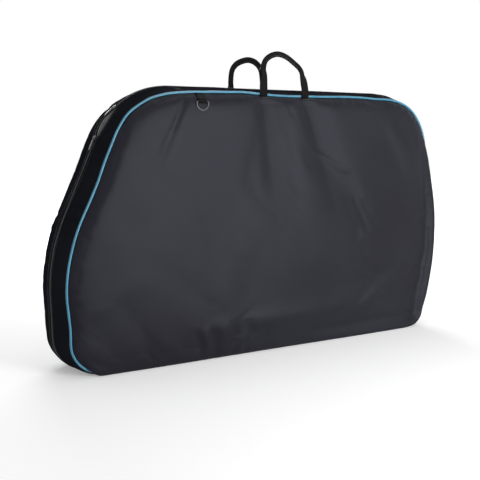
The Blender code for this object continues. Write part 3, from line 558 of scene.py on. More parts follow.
# What repeats: stitches and zip teeth, set along a path by Geometry Nodes
repeats = {  # spacing, size, unevenness, seed
    "GussetStitching": (0.0034, 0.0028, 0.06, 23), "ZipTeeth": (0.0019, 0.00185, 0.0, 3),
    "ZipStitching": (0.0034, 0.0028, 0.05, 5), "FrameStrapStitching": (0.0034, 0.0030, 0.08, 11),
    "HemStitching": (0.0036, 0.0030, 0.07, 7), "HandleStitching": (0.0034, 0.0030, 0.06, 13),
    "FootStitching": (0.0026, 0.0028, 0.1, 17), "TabStitching": (0.0026, 0.0026, 0.1, 19),
}


def repeatAlong():
    tree = bpy.data.node_groups.new("repeatAlong", "GeometryNodeTree")
    sockets = {}
    for label, kind in (("Path", "Geometry"), ("Shape", "Object"), ("Spacing", "Float"), ("Size", "Float"),
                        ("Unevenness", "Float"), ("Seed", "Int"), ("Finish", "Material")):
        made = tree.interface.new_socket(label, in_out="INPUT", socket_type=f"NodeSocket{kind}")
        sockets[label] = made.identifier
    tree.interface.new_socket("Pieces", in_out="OUTPUT", socket_type="NodeSocketGeometry")
    give, take = tree.nodes.new("NodeGroupInput").outputs, tree.nodes.new("NodeGroupOutput")

    def step(kind, wired=(), **fixed):
        return node(tree, kind, wired, **fixed).outputs

    curve = step("GeometryNodeMeshToCurve", {"Mesh": give["Path"]})[0]
    even = step("GeometryNodeResampleCurve", {"Curve": curve, "Length": give["Spacing"]}, mode="LENGTH")[0]
    tangent = step("GeometryNodeInputTangent")[0]
    facing = step("GeometryNodeInputNamedAttribute", {"Name": "facing"}, data_type="FLOAT_VECTOR")[0]
    lined = step("FunctionNodeAlignRotationToVector", {"Vector": tangent}, axis="X")[0]
    aimed = step("FunctionNodeAlignRotationToVector", {"Rotation": lined, "Vector": facing}, axis="Z",
                 pivot_axis="X")[0]
    swing = step("ShaderNodeMath", {0: give["Unevenness"], 1: -1.0}, operation="MULTIPLY")[0]
    chance = step("FunctionNodeRandomValue", {2: swing, 3: give["Unevenness"], "Seed": give["Seed"]},
                  data_type="FLOAT")[1]
    twist = step("ShaderNodeCombineXYZ", {"Z": chance})[0]
    spin = step("FunctionNodeRotateRotation", {"Rotation": aimed, "Rotate By": twist}, rotation_space="LOCAL")[0]
    shape = step("GeometryNodeObjectInfo", {"Object": give["Shape"]})["Geometry"]
    placed = step("GeometryNodeInstanceOnPoints", {"Points": even, "Instance": shape, "Rotation": spin,
                                                   "Scale": give["Size"]})[0]
    real = step("GeometryNodeRealizeInstances", {"Geometry": placed})[0]
    painted = step("GeometryNodeSetMaterial", {"Geometry": real, "Material": give["Finish"]})[0]
    tree.links.new(painted, take.inputs[0])
    return tree, sockets


repeatTree, repeatSockets = repeatAlong()


def bridged(bm, rings):
    # a closed bar through rings of four points
    made = [[bm.verts.new(point) for point in ring] for ring in rings]
    for near, far in zip(made, made[1:]):
        for k in range(4):
            bm.faces.new((near[k], near[(k + 1) % 4], far[(k + 1) % 4], far[k]))
    bm.faces.new(made[0][::-1])
    bm.faces.new(made[-1])


# One stitch of thread, a short rod that dives into the cloth at both ends: (x, z, radius)
rod = [(-0.5, -0.12, 0.07), (-0.38, 0.06, 0.13), (0.0, 0.12, 0.15), (0.38, 0.06, 0.13), (0.5, -0.12, 0.07)]


def stitchShape(bm):
    corners = [math.pi / 4 + math.pi / 2 * k for k in range(4)]
    bridged(bm, [[(x, radius * math.cos(a), z + radius * math.sin(a)) for a in corners] for x, z, radius in rod])


def toothShape(bm):
    # one turn of the nylon coil, with the lip that locks into the other row at +Y
    bmesh.ops.create_cube(bm, size=1.0)
    for vertex in bm.verts:
        if vertex.co.y > 0:
            vertex.co.x *= 0.75
            vertex.co.z *= 0.8
    bmesh.ops.bevel(bm, geom=bm.edges[:], offset=0.16, segments=1, affect="EDGES", profile=0.6)
    bmesh.ops.scale(bm, vec=(0.62, 1.25, 1.0), verts=bm.verts)


def shapeObject(name, build):
    mesh = shaped(bpy.data.meshes.new(name), build)
    mesh.shade_smooth()
    return linked(name, mesh)


stitchPiece, toothPiece = shapeObject("stitchPiece", stitchShape), shapeObject("toothPiece", toothShape)


def finished(obj, body, slot, *replaced):
    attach(obj, body)
    if replaced:
        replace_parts(obj, *replaced)
    return obj


def alongPaths(owner, kind, paths, material, body, end=""):
    # paths: lists of (point, facing). One plain mesh comes back, for one body
    name, shape = f"{owner}{kind}{end}", toothPiece if kind == "ZipTeeth" else stitchPiece
    mesh = bpy.data.meshes.new(name)
    points, edges, facings = [], [], []
    for path in paths:
        first = len(points)
        points += [point for point, _ in path]
        facings += [facing for _, facing in path]
        edges += [(first + k, first + k + 1) for k in range(len(path) - 1)]
    mesh.from_pydata(points, edges, [])
    mesh.attributes.new("facing", "FLOAT_VECTOR", "POINT").data.foreach_set("vector", flat(facings))
    source = linked(name, mesh)
    change = source.modifiers.new("repeat", "NODES")
    change.node_group = repeatTree
    given = (shape, *repeats[kind], material)
    for label, value in zip(("Shape", "Spacing", "Size", "Unevenness", "Seed", "Finish"), given):
        change[repeatSockets[label]] = value
    bpy.context.view_layer.update()
    plain = bpy.data.meshes.new_from_object(source.evaluated_get(bpy.context.evaluated_depsgraph_get()))
    source.modifiers.remove(change)
    bpy.data.objects.remove(source)
    plain.name = name
    if "facing" in plain.attributes:
        plain.attributes.remove(plain.attributes["facing"])
    if not plain.materials:
        plain.materials.append(material)
    return finished(linked(name, plain), body, "webbing" if shape is stitchPiece else "zip_teeth")


# Materials


def shaderTree(name):
    material = bpy.data.materials.new(name)
    material.use_nodes = True
    return material, material.node_tree, material.node_tree.nodes["Principled BSDF"]


def mixed(tree, factor, first, second, blend="MIX"):
    values = {0: factor, 6: first, 7: second}
    return node(tree, "ShaderNodeMix", values, data_type="RGBA", blend_type=blend).outputs[2]


def ranged(tree, value, low, high, fromLow=0.3, fromHigh=0.7):
    return node(tree, "ShaderNodeMapRange", {0: value, 1: fromLow, 2: fromHigh, 3: low, 4: high}).outputs[0]


def calculated(tree, operation, first, second):
    return node(tree, "ShaderNodeMath", {0: first, 1: second}, operation=operation).outputs[0]


def shades(tree, factor, colour, dark, pale):
    # the colour, from darker to paler by that factor
    ends = [tuple(min(1, value * share) for value in colour) + (1,) for share in (dark, pale)]
    return mixed(tree, ranged(tree, factor, 0.0, 1.0), *ends)


plainCloth = {"patches": 5.0, "rib": None, "darker": 0.82, "paler": 1.14, "threadShade": 0.16, "crinkles": 55.0,
              "crinkleDepth": 0.25, "weaveDepth": 0.35, "gloss": 0.2, "specular": (1, 1, 1), "sheen": 0.0}


def clothMaterial(name, **changes):
    # woven cloth: threads from the UV map, slow shade changes and fine creases from the place
    look = {**plainCloth, **changes}
    material, tree, shader = shaderTree(name)

    def texture(kind, values, output="Fac", **fixed):
        return node(tree, f"ShaderNodeTex{kind}", values, **fixed).outputs[output]

    place = node(tree, "ShaderNodeTexCoord").outputs
    space, cloth, thread = place["Object"], place["UV"], 0.314 / look["pitch"]
    slow = texture("Noise", {"Vector": space, "Scale": look["patches"], "Detail": 3.0})
    fine = texture("Noise", {"Vector": space, "Scale": 700.0, "Detail": 2.0})
    if look["rib"]:
        weave = texture("Wave", {"Vector": cloth, "Scale": thread, "Distortion": 0.4, "Detail": 1.0,
                                 "Detail Scale": 2.0}, bands_direction=look["rib"])
    else:
        weave = calculated(tree, "MULTIPLY", *(texture("Wave", {"Vector": cloth, "Scale": thread}, bands_direction=way)
                                               for way in "XY"))
    colour = shades(tree, slow, look["colour"], look["darker"], look["paler"])
    tone = calculated(tree, "MULTIPLY", ranged(tree, weave, 1 - look["threadShade"], 1.04, 0.0, 1.0),
                      ranged(tree, fine, 0.93, 1.07))
    grey = node(tree, "ShaderNodeCombineColor", {0: tone, 1: tone, 2: tone}).outputs[0]
    crinkle = texture("Noise", {"Vector": space, "Scale": look["crinkles"], "Detail": 5.0, "Roughness": 0.6})
    soft = node(tree, "ShaderNodeBump", {"Height": crinkle, "Strength": look["crinkleDepth"], "Distance": 0.0016})
    woven = node(tree, "ShaderNodeBump", {"Height": weave, "Strength": look["weaveDepth"],
                                          "Distance": look["pitch"] * 0.3, "Normal": soft.outputs[0]})
    fill(tree, shader, {
        "Base Color": mixed(tree, 1.0, colour, grey, "MULTIPLY"), "Normal": woven.outputs[0],
        "Roughness": ranged(tree, slow, look["roughness"] - 0.05, look["roughness"] + 0.06),
        "Specular IOR Level": look["gloss"], "Specular Tint": (*look["specular"], 1),
        "Sheen Weight": look["sheen"], "Sheen Roughness": 0.45, "Sheen Tint": (0.75, 0.78, 0.86, 1)})
    return material


def hardMaterial(name, colour, roughness, grain=0.0, depth=0.12):
    # pitted plastic where a grain is given, otherwise worn metal
    material, tree, shader = shaderTree(name)
    place = node(tree, "ShaderNodeTexCoord").outputs["Object"]
    if grain:
        scale, detail, dark, pale, smoother, rougher, distance = grain / 9, 3.0, 0.8, 1.2, 0.06, 0.08, 0.0004
        relief = node(tree, "ShaderNodeTexVoronoi", {"Vector": place, "Scale": grain}).outputs["Distance"]
    else:
        scale, detail, dark, pale, smoother, rougher, distance = 160.0, 4.0, 0.72, 1.25, 0.07, 0.12, 0.0002
        relief = node(tree, "ShaderNodeTexNoise", {"Vector": place, "Scale": 900.0, "Detail": 2.0,
                                                   "Distortion": 1.5}).outputs["Fac"]
    slow = node(tree, "ShaderNodeTexNoise", {"Vector": place, "Scale": scale, "Detail": detail}).outputs["Fac"]
    bump = node(tree, "ShaderNodeBump", {"Height": relief, "Strength": depth, "Distance": distance})
    fill(tree, shader, {"Base Color": shades(tree, slow, colour, dark, pale), "Normal": bump.outputs[0],
                        "Roughness": ranged(tree, slow, roughness - smoother, roughness + rougher),
                        "Metallic": 0.0 if grain else 1.0})
    return material


cloths = {
    "panelNylon": dict(colour=(0.0130, 0.0130, 0.0175), pitch=0.0011, roughness=0.40, gloss=0.085,
                       specular=(0.86, 0.87, 1.0), patches=3.5, crinkles=38.0, crinkleDepth=0.22),
    "gussetNylon": dict(colour=(0.0165, 0.0175, 0.0225), pitch=0.0011, roughness=0.54, gloss=0.0, patches=7.0,
                        crinkles=30.0, crinkleDepth=0.35),
    "baseCloth": dict(colour=(0.013, 0.013, 0.015), pitch=0.0018, roughness=0.62, gloss=0.12, sheen=0.01,
                      weaveDepth=0.6, crinkles=22.0),
    "liningCloth": dict(colour=(0.23, 0.23, 0.245), pitch=0.0009, roughness=0.72, sheen=0.25, crinkles=30.0,
                        crinkleDepth=0.4),
    "pocketCloth": dict(colour=(0.055, 0.056, 0.062), pitch=0.0016, roughness=0.66, sheen=0.2, weaveDepth=0.5,
                        crinkles=24.0, crinkleDepth=0.5),
    "guardCloth": dict(colour=(0.22, 0.225, 0.215), pitch=0.0013, roughness=0.6, sheen=0.2, threadShade=0.45,
                       patches=40.0, darker=0.6),
    "pipingCloth": dict(colour=(0.036, 0.195, 0.30), pitch=0.0008, roughness=0.34, patches=12.0, darker=0.88,
                        paler=1.08, crinkles=120.0, gloss=0.45),
    "webbing": dict(colour=(0.0040, 0.0040, 0.0043), pitch=0.0019, roughness=0.50, rib="DIAGONAL", threadShade=0.5,
                    weaveDepth=0.9, gloss=0.06, crinkles=90.0),
    "zipTape": dict(colour=(0.020, 0.020, 0.022), pitch=0.0010, roughness=0.68, rib="X", threadShade=0.4,
                    weaveDepth=0.7, sheen=0.02, gloss=0.15),
}
hard = {  # colour, roughness, and for plastic its grain and depth
    "ringMetal": ((0.062, 0.062, 0.066), 0.34), "sliderMetal": ((0.14, 0.14, 0.145), 0.36),
    "teeth": ((0.075, 0.077, 0.082), 0.34, 2600.0, 0.2), "thread": ((0.050, 0.050, 0.055), 0.55, 4200.0, 0.4),
    "paleThread": ((0.34, 0.34, 0.35), 0.6, 4200.0, 0.4), "boardPlastic": ((0.022, 0.022, 0.024), 0.5, 900.0, 0.5),
}
looks = {name: clothMaterial(name, **look) for name, look in cloths.items()}
looks.update({name: hardMaterial(name, *values) for name, values in hard.items()})
print("materials made:", len(looks))


def repaint(name, material):
    # a hard solid that stays on show
    cadNodes[name].data.materials.clear()
    cadNodes[name].data.materials.append(material)


def bothHalves(make, label):
    for half in sides:
        make(half, sides[half])
    print(label, "made")


def spread(first, last, step):
    count = max(2, round((last - first) / step))
    return [first + (last - first) * k / count for k in range(count + 1)]


def facingAt(along):
    normal = seamAt(along)[1]
    return Vector((normal.x, 0, normal.y))


def channel(value, spacing, width):
    # how far the sewn channels press a pad in there, from 0 to 1
    off = (value / spacing) % 1.0
    return bell(min(off, 1 - off) * spacing, width)


def makePanel(half, side):
    middle, rings = panelGrid["half"], panelGrid["rings"]
    places = gridPlaces(side, rings, middle)
    # how far in each point's ring was drawn
    drawn = [[rings[min(middle - max(abs(r - middle), abs(c - middle)), len(rings) - 1)] for c in range(len(line))]
             for r, line in enumerate(places)]
    rows = [[rolled(half, panelPoint(side, x, z, along, inset, 0.0), along, drawn[r][c])
             for c, (x, z, along, inset) in enumerate(line)] for r, line in enumerate(places)]
    uvs = [[(x, z) for x, z, _, _ in line] for line in places]
    panel = clothGrid(f"{half}Panel", rows, uvs, (0, side, 0), looks["panelNylon"])
    sewn = [r * len(rows) + c for r in range(len(rows)) for c in range(len(rows)) if drawn[r][c] <
            panelGrid["heldRolled" if smoothTable(rollShare[half], places[r][c][2] % perimeter) > 0 else "held"]]
    drape(panel, sewn, panelGrid)
    thicken(panel, panelGrid["cloth"])
    finished(panel, f"{half}_half", "shell_nylon", f"{half}_panel")
    return panel


bothHalves(makePanel, "panels")

# Foam and lining behind each panel, quilted with sewn channels
liningPad = {"half": 44, "rings": [0.0085, 0.010, 0.0125, 0.016, 0.021, 0.028], "outerDepth": 0.0062,
             "innerDepth": 0.0121, "channel": 0.090, "channelWidth": 0.006, "channelDepth": 0.0024,
             "thinning": 0.006, "rimShare": 0.2}


def makeLiningPad(half, side):
    places = gridPlaces(side, liningPad["rings"], liningPad["half"])
    middle = (liningPad["outerDepth"] + liningPad["innerDepth"]) / 2
    outer, inner = [], []
    for line in places:
        outer.append([])
        inner.append([])
        for x, z, along, inset in line:
            thin = 1 - math.exp(-(inset - liningPad["rings"][0]) / liningPad["thinning"])
            rim = liningPad["rimShare"]
            reach = (liningPad["innerDepth"] - liningPad["outerDepth"]) / 2 * (rim + (1 - rim) * thin)
            dip = liningPad["channelDepth"] * thin * max(
                channel(diagonal * 0.7071, liningPad["channel"], liningPad["channelWidth"])
                for diagonal in (x + z, x - z))
            outer[-1].append(panelPoint(side, x, z, along, inset, middle - reach))
            inner[-1].append(panelPoint(side, x, z, along, inset, middle + reach - dip))
    uvs = [[(x, z) for x, z, _, _ in line] for line in places]
    pad = closedGrid(f"{half}LiningPad", outer, inner, uvs, (0, side, 0), looks["liningCloth"])
    finished(pad, f"{half}_half", "lining_cloth", f"{half}_padding", f"{half}_lining")
    return pad


bothHalves(makeLiningPad, "lining pads")

# Piping: cord in a strip of coloured cloth, sewn into the seam
piping = {"radius": 0.0033, "step": 0.006, "sides": 10, "wave": 0.0004, "aside": 0.0006, "wrap": 0.02}


def makePiping(half, side):
    count = int(perimeter / piping["step"])
    shares = [s / piping["sides"] for s in range(piping["sides"])]
    sections, uvs = [], []
    for k in range(count):
        along = perimeter * k / count
        point, normal = seamAt(along)
        free = 1 - facesDown(normal)
        centre = point + normal * (strayAt(side, along) + piping["wave"] * ripple(along * 21, side * 1.7)) * free
        radius = piping["radius"] * (1 + 0.04 * ripple(along * 60, side * 2.9))
        ring = []
        for share in shares:
            turn = 2 * math.pi * share
            out = centre + normal * radius * math.cos(turn)
            aside = bag["halfDepth"] + piping["aside"] * free + radius * math.sin(turn)
            ring.append(Vector((out.x, side * aside, out.y)))
        sections.append(ring)
        uvs.append([(share * piping["wrap"], along) for share in shares])
    cord = loft(f"{half}Piping", sections, looks["pipingCloth"], uvs, closedPath=True)
    return finished(cord, f"{half}_half", "piping_cord", f"{half}_piping")


bothHalves(makePiping, "piping")

# The gusset: half on each side of the zip. Its two rows of stitches stand off each join between its strips
gusset = {"step": 0.006, "rows": [0.0822, 0.0812, 0.0795, 0.077, 0.073, 0.068, 0.062, 0.056, 0.050, 0.044, 0.038,
                                  0.032, 0.026, 0.0205, 0.0165, 0.013, 0.0105, 0.0085, 0.0075, 0.0070],
          "hemFrom": 0.0105, "hemLift": 0.0006, "frames": 12, "growth": -0.006, "cap": 0.0022, "pressure": 0.4,
          "cloth": 0.0016, "joinStitches": 0.0042, "stitchLift": 0.0004, "heldRows": 6}


def opening(side, y, along):
    # how far the parted zip pushes the cloth aside there
    return side * (y + parting(side, along) * smoothStep(0.05, 0.018, y))


def acrossGusset(name, look, ys, places, point, *inner):
    # an open sheet with a point for each distance across and along, or a pad if inner points are given
    sheets = [[[make(y, a) for a in places] for y in ys] for make in (point, *inner)]
    uvs, facing = [[(y, a) for a in places] for y in ys], facingAt(places[len(places) // 2])
    return (closedGrid if inner else clothGrid)(name, *sheets, uvs, facing, looks[look])


def makeGusset(half, side):
    places = spread(zipStart, zipEnd, gusset["step"])
    band = acrossGusset(f"{half}Gusset", "gussetNylon", gusset["rows"], places, lambda y, a: gussetPoint(
        a, opening(side, y, a), -gusset["hemLift"] * (y < gusset["hemFrom"]), relief=True))
    width, last = len(places), len(gusset["rows"]) - 1
    sewn = [r * width + c for r in range(last + 1) for c in range(width)
            if r < 1 or r > last - gusset["heldRows"] or c < 1 or c > width - 2]
    drape(band, sewn, gusset)
    thicken(band, gusset["cloth"])
    finished(band, f"{half}_half", "shell_nylon",
             *(f"{half}_gusset_{strip}" for strip in ("left", "top", "corner", "right")))
    seams = [[(gussetPoint(join + off, side * y, -gusset["stitchLift"], relief=True), facingAt(join))
              for y in gusset["rows"][2:-4]] for join in gussetJoins
             for off in (-gusset["joinStitches"], gusset["joinStitches"])]
    alongPaths(half, "GussetStitching", seams, looks["thread"], f"{half}_half")
    return band


bothHalves(makeGusset, "gussets")

# The zip: tapes, rows of teeth and the stitching that holds them, and the strip behind
zipper = {"step": 0.006, "end": 0.001, "tapeNear": 0.0013, "tapeFar": 0.0178, "tapeDepth": 0.0021, "tape": 0.0008,
          "toothAt": 0.00125, "toothDepth": 0.00085, "stitchEnd": 0.004, "stitchLift": 0.0007,
          "rows": (0.0088, 0.0148), "guard": 0.0008, "guardHalf": 0.0155, "guardDepth": 0.0062, "guardRim": 0.0040,
          "guardBulge": 0.0075, "guardRipple": 0.0003}


def makeZip(half, side):
    body, places = f"{half}_half", spread(zipStart + zipper["end"], zipEnd - zipper["end"], zipper["step"])
    ys = [zipper["tapeNear"] + (zipper["tapeFar"] - zipper["tapeNear"]) * k / 5 for k in range(6)]
    tape = acrossGusset(f"{half}ZipTape", "zipTape", ys, places, lambda y, a: gussetPoint(
        a, side * (y + parting(side, a)), zipper["tapeDepth"]))
    finished(thicken(tape, zipper["tape"]), body, "zip_tape", f"{half}_zip_tape")
    # the lips of the teeth point at the other row, so the two paths run opposite ways
    row = [(gussetPoint(a, side * (zipper["toothAt"] + parting(side, a)), zipper["toothDepth"]), facingAt(a))
           for a in places[::-side]]
    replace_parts(alongPaths(half, "ZipTeeth", [row], looks["teeth"], body), f"{half}_zip_coil")
    sewn = [[(gussetPoint(a, opening(side, y, a), -zipper["stitchLift"], relief=True), facingAt(a))
             for a in spread(zipStart + zipper["stitchEnd"], zipEnd - zipper["stitchEnd"], zipper["step"])]
            for y in zipper["rows"]]
    alongPaths(half, "ZipStitching", sewn, looks["thread"], body)
    for end in ("left", "right"):
        repaint(f"{half}_zip_stop_{end}", looks["sliderMetal"])


bothHalves(makeZip, "zips")


def guardPoint(y, a):
    near, far = zipper["tapeNear"] + parting(-1, a), zipper["tapeNear"] + parting(1, a)
    spot = y + y / zipper["guardHalf"] * (far if y > 0 else near)
    middle, reach = (far - near) / 2, (far + near) / 2
    bulge = zipper["guardBulge"] * opened(a) * max(0.0, 1 - ((spot - middle) / reach) ** 2)
    depth = zipper["guardRim" if y > 0.9 * zipper["guardHalf"] else "guardDepth"]
    return gussetPoint(a, spot, depth - bulge - zipper["guardRipple"] * ripple(a * 40, y * 90))


def makeGuard():
    places = [a for a in spread(zipStart, zipEnd, zipper["step"]) if seamAt(a)[1].y >= 0]
    ys = [zipper["guardHalf"] * k / 5 for k in range(-5, 6)]
    guard = acrossGusset("zipGuard", "guardCloth", ys, places, guardPoint)
    return finished(thicken(guard, zipper["guard"]), "back_half", "lining_cloth", "zip_guard")


makeGuard()
print("zip guard made")

# Lining of the gusset, padded and quilted across
gussetPad = {"rows": [0.0762, 0.0752, 0.073, 0.069, 0.060, 0.050, 0.040, 0.030, 0.0235, 0.0205, 0.0195],
             "outerDepth": 0.0034, "innerDepth": 0.0066, "channel": 0.075, "channelWidth": 0.005, "step": 0.0095,
             "rimShare": 0.25, "channelShare": 0.6}


def makeGussetPad(half, side):
    places = spread(zipStart + zipper["end"], zipEnd - zipper["end"], gussetPad["step"])
    middle = (gussetPad["innerDepth"] + gussetPad["outerDepth"]) / 2
    ys, rim, thick = gussetPad["rows"], gussetPad["rimShare"], gussetPad["innerDepth"] - gussetPad["outerDepth"]

    def point(y, a, toward):
        # toward: -1 on the outer sheet, and up to 1 on the inner one
        k = ys.index(y)
        reach = thick / 2 * (rim + (1 - rim) * smoothStep(0, 2.2, min(k, len(ys) - 1 - k)))
        return gussetPoint(a, opening(side, y, a), middle + reach * toward, relief=True)

    pad = acrossGusset(f"{half}GussetPad", "liningCloth", ys, places, lambda y, a: point(y, a, -1), lambda y, a: point(
        y, a, 1 - gussetPad["channelShare"] * channel(a, gussetPad["channel"], gussetPad["channelWidth"])))
    finished(pad, f"{half}_half", "lining_cloth", f"{half}_gusset_lining")
    return pad


bothHalves(makeGussetPad, "gusset linings")

# The base: heavy cloth outside, board, quilted pad and folded straps inside
base = {"rows": [0.0811, 0.0803, 0.079, 0.075, 0.070, 0.064, 0.050, 0.030, 0.010], "joint": 0.001, "step": 0.008,
        "cloth": 0.0018, "left": -0.5383 + 0.012, "right": 0.5439 - 0.012, "padLow": 0.0066, "padHigh": 0.0146,
        "padHalf": 0.068, "padSteps": (0.010, 0.0062), "channels": (0.082, 0.068), "channelAt": 0.034,
        "channelWidth": 0.006, "channelDepth": 0.0024, "rounding": 0.004, "rimShare": 0.35}


def makeBase():
    places = spread(zipEnd + base["joint"], perimeter + zipStart - base["joint"], base["step"])
    ys = [-y for y in base["rows"]] + base["rows"][::-1]

    def grounded(y, a):
        point = gussetPoint(a, y, 0.0)
        return Vector((point.x, point.y, max(0.0, point.z)))

    cloth = acrossGusset("baseCloth", "baseCloth", ys, places, grounded)
    finished(thicken(cloth, base["cloth"]), "back_half", "shell_nylon", "base_gusset")
    repaint("base_board", looks["boardPlastic"])
    xs = spread(base["left"], base["right"], base["padSteps"][0])
    across = spread(-base["padHalf"], base["padHalf"], base["padSteps"][1])

    def height(x, y):
        edge = min(x - base["left"], base["right"] - x, base["padHalf"] - abs(y))
        full = 1 - math.exp(-edge / base["rounding"])
        dip = max(channel(value, spacing, base["channelWidth"])
                  for value, spacing in zip((x, y + base["channelAt"]), base["channels"]))
        rise = (base["padHigh"] - base["padLow"]) * (base["rimShare"] + (1 - base["rimShare"]) * full)
        return base["padLow"] + rise - base["channelDepth"] * dip * full

    outer = [[Vector((x, y, height(x, y))) for x in xs] for y in across]
    inner = [[Vector((x, y, base["padLow"])) for x in xs] for y in across]
    pad = closedGrid("basePad", outer, inner, [[(x, y) for x in xs] for y in across], (0, 0, 1), looks["liningCloth"])
    finished(pad, "back_half", "lining_cloth", "base_pad")
    return pad


makeBase()


def strip(name, path, width, thickness, facing):
    # flat webbing along a path of points, as wide as that along X, with its UV map along the cloth
    rows, uvs, run, count = [], [], 0.0, 6
    for k, point in enumerate(path):
        run += (point - path[k - 1]).length if k else 0.0
        rows.append([point + Vector((width * (c / count - 0.5), 0, 0)) for c in range(count + 1)])
        uvs.append([(width * c / count, run) for c in range(count + 1)])
    return thicken(clothGrid(name, rows, uvs, facing, looks["webbing"]), thickness)


def turned(before, here, after, radius, most, shares):
    # the corner at here, cut back by the radius on both sides and rounded
    arriving, leaving = before - here, after - here
    cut = min(radius, arriving.length * most, leaving.length * most)
    first, last = here + arriving.normalized() * cut, here + leaving.normalized() * cut
    return [first * (1 - t) ** 2 + here * 2 * t * (1 - t) + last * t * t for t in shares]


def denser(points, step):
    path = []
    for near, far in zip(points, points[1:]):
        count = max(1, math.ceil((far - near).length / step))
        path += [near + (far - near) * k / count for k in range(count)]
    return path + [points[-1]]


# Frame straps, folded in three on the base pad, each sewn down with a crossed box
frameStrap = {"xs": {"left": -0.24 * 1.26, "right": 0.14 * 1.26}, "width": 0.038, "reach": 0.055, "fold": 0.0045,
              "low": 0.0149, "webbing": 0.0018, "turn": 0.0018, "step": 0.006, "box": (0.003, 0.004, 0.026)}


def makeFrameStrap(end, x):
    reach, fold, low = frameStrap["reach"], frameStrap["fold"], frameStrap["low"]
    corners = [Vector((x, y, z)) for y, z in (
        (-reach, low), (reach, low), (reach + fold / 2, low + fold / 2), (reach, low + fold), (-reach, low + fold),
        (-reach - fold / 2, low + 1.5 * fold), (-reach, low + 2 * fold), (reach / 2, low + 2 * fold))]
    path = [corners[0]]
    for before, here, after in zip(corners, corners[1:], corners[2:]):
        path += turned(before, here, after, frameStrap["turn"], 0.45, [s / 3 for s in range(4)])
    path = denser([*path, corners[-1]], frameStrap["step"])
    strap = strip(f"{end}FrameStrap", path, frameStrap["width"], frameStrap["webbing"], (0, 0, -1))
    finished(strap, "back_half", "webbing", f"frame_strap_{end}")
    margin, *insets = frameStrap["box"]
    left, right = x - frameStrap["width"] / 2 + margin, x + frameStrap["width"] / 2 - margin
    (near, far), z = (reach / 2 - inset for inset in insets), low + 2 * fold + frameStrap["webbing"] + 0.0001
    lines = [[(left, near), (right, near), (right, far), (left, far), (left, near)],
             [(left, near), (right, far)], [(right, near), (left, far)]]
    rows = [[(Vector((a, b, z)), Vector((0, 0, 1))) for a, b in line] for line in lines]
    alongPaths(end, "FrameStrapStitching", rows, looks["paleThread"], "back_half")


for end, x in frameStrap["xs"].items():
    makeFrameStrap(end, x)
print("base made")

# Wheel pockets
pocket = {"x": 0.07 * 1.26, "width": 0.66, "bottom": 0.045, "mouth": 0.565, "depth": 0.039, "rim": 0.075,
          "taper": 0.45, "seat": 0.0136, "cloth": 0.0010, "hem": 0.018, "hemCloth": 0.0014, "hemReach": 0.86,
          "columns": 72, "rows": 56,
          "broad": 0.0022, "fine": 0.0012, "mouthWave": 0.0012, "mouthReach": 0.12}
seamSamples = [seamAt(perimeter * k / 180)[0] for k in range(180)]


def pocketPoint(side, across, height, depth):
    grown = min(1.0, 2 * height)
    halfWidth = pocket["width"] / 2 * (1 - pocket["taper"] * (1 - grown) ** 2)
    x = -side * pocket["x"] + across * halfWidth
    z = pocket["bottom"] + (pocket["mouth"] - pocket["bottom"]) * height
    fromSide = min(1.0, halfWidth * (1 - abs(across)) / pocket["rim"])
    fromBottom = min(1.0, (z - pocket["bottom"]) / pocket["rim"])
    lift = pocket["depth"] * math.sin(math.pi / 2 * fromSide) * math.sin(math.pi / 2 * fromBottom)
    ease = min(1.0, lift / 0.02) * (
        pocket["broad"] * ripple(x * 9, z * 6, side * 4.4) + pocket["fine"] * ripple(x * 30, z * 9, side * 2.2)
        + pocket["mouthWave"] * ripple(across * 14, side * 3.3) * math.exp((height - 1) / pocket["mouthReach"]))
    place = Vector((x, z))
    edge = min((place - sample).length for sample in seamSamples)
    return panelPoint(side, x, z, 0.0, max(0.0028, min(0.35, edge)), pocket["seat"] + lift + depth - ease)


def makePocket(half, side):
    columns = [2 * k / pocket["columns"] - 1 for k in range(pocket["columns"] + 1)]
    levels = [k / pocket["rows"] for k in range(pocket["rows"] + 1)]
    rows = [[pocketPoint(side, across, height, 0.0) for across in columns] for height in levels]
    uvs = [[(point.x, point.z) for point in row] for row in rows]
    bagged = clothGrid(f"{half}WheelPocket", rows, uvs, (0, -side, 0), looks["pocketCloth"])
    finished(thicken(bagged, pocket["cloth"], 1.0), f"{half}_half", "lining_cloth", f"{half}_wheel_pocket")
    share = 1 - pocket["hem"] / (pocket["mouth"] - pocket["bottom"])
    inside = [across for across in columns if abs(across) < pocket["hemReach"]]
    rows = [[pocketPoint(side, across, share + (1 - share) * t, 0.0012 + 0.0008 * math.sin(math.pi * t))
             for across in inside] for t in (0, 0.2, 0.4, 0.6, 0.8, 1.0)]
    uvs = [[(point.z, point.x) for point in row] for row in rows]
    hem = clothGrid(f"{half}PocketHem", rows, uvs, (0, -side, 0), looks["webbing"])
    finished(thicken(hem, pocket["hemCloth"], 1.0), f"{half}_half", "webbing", f"{half}_pocket_hem")
    lines = [[(pocketPoint(side, across, share + (1 - share) * t, 0.0030), Vector((0, -side, 0))) for across in inside]
             for t in (0.14, 0.86)]
    alongPaths(half, "HemStitching", lines, looks["paleThread"], f"{half}_half")


bothHalves(makePocket, "wheel pockets")

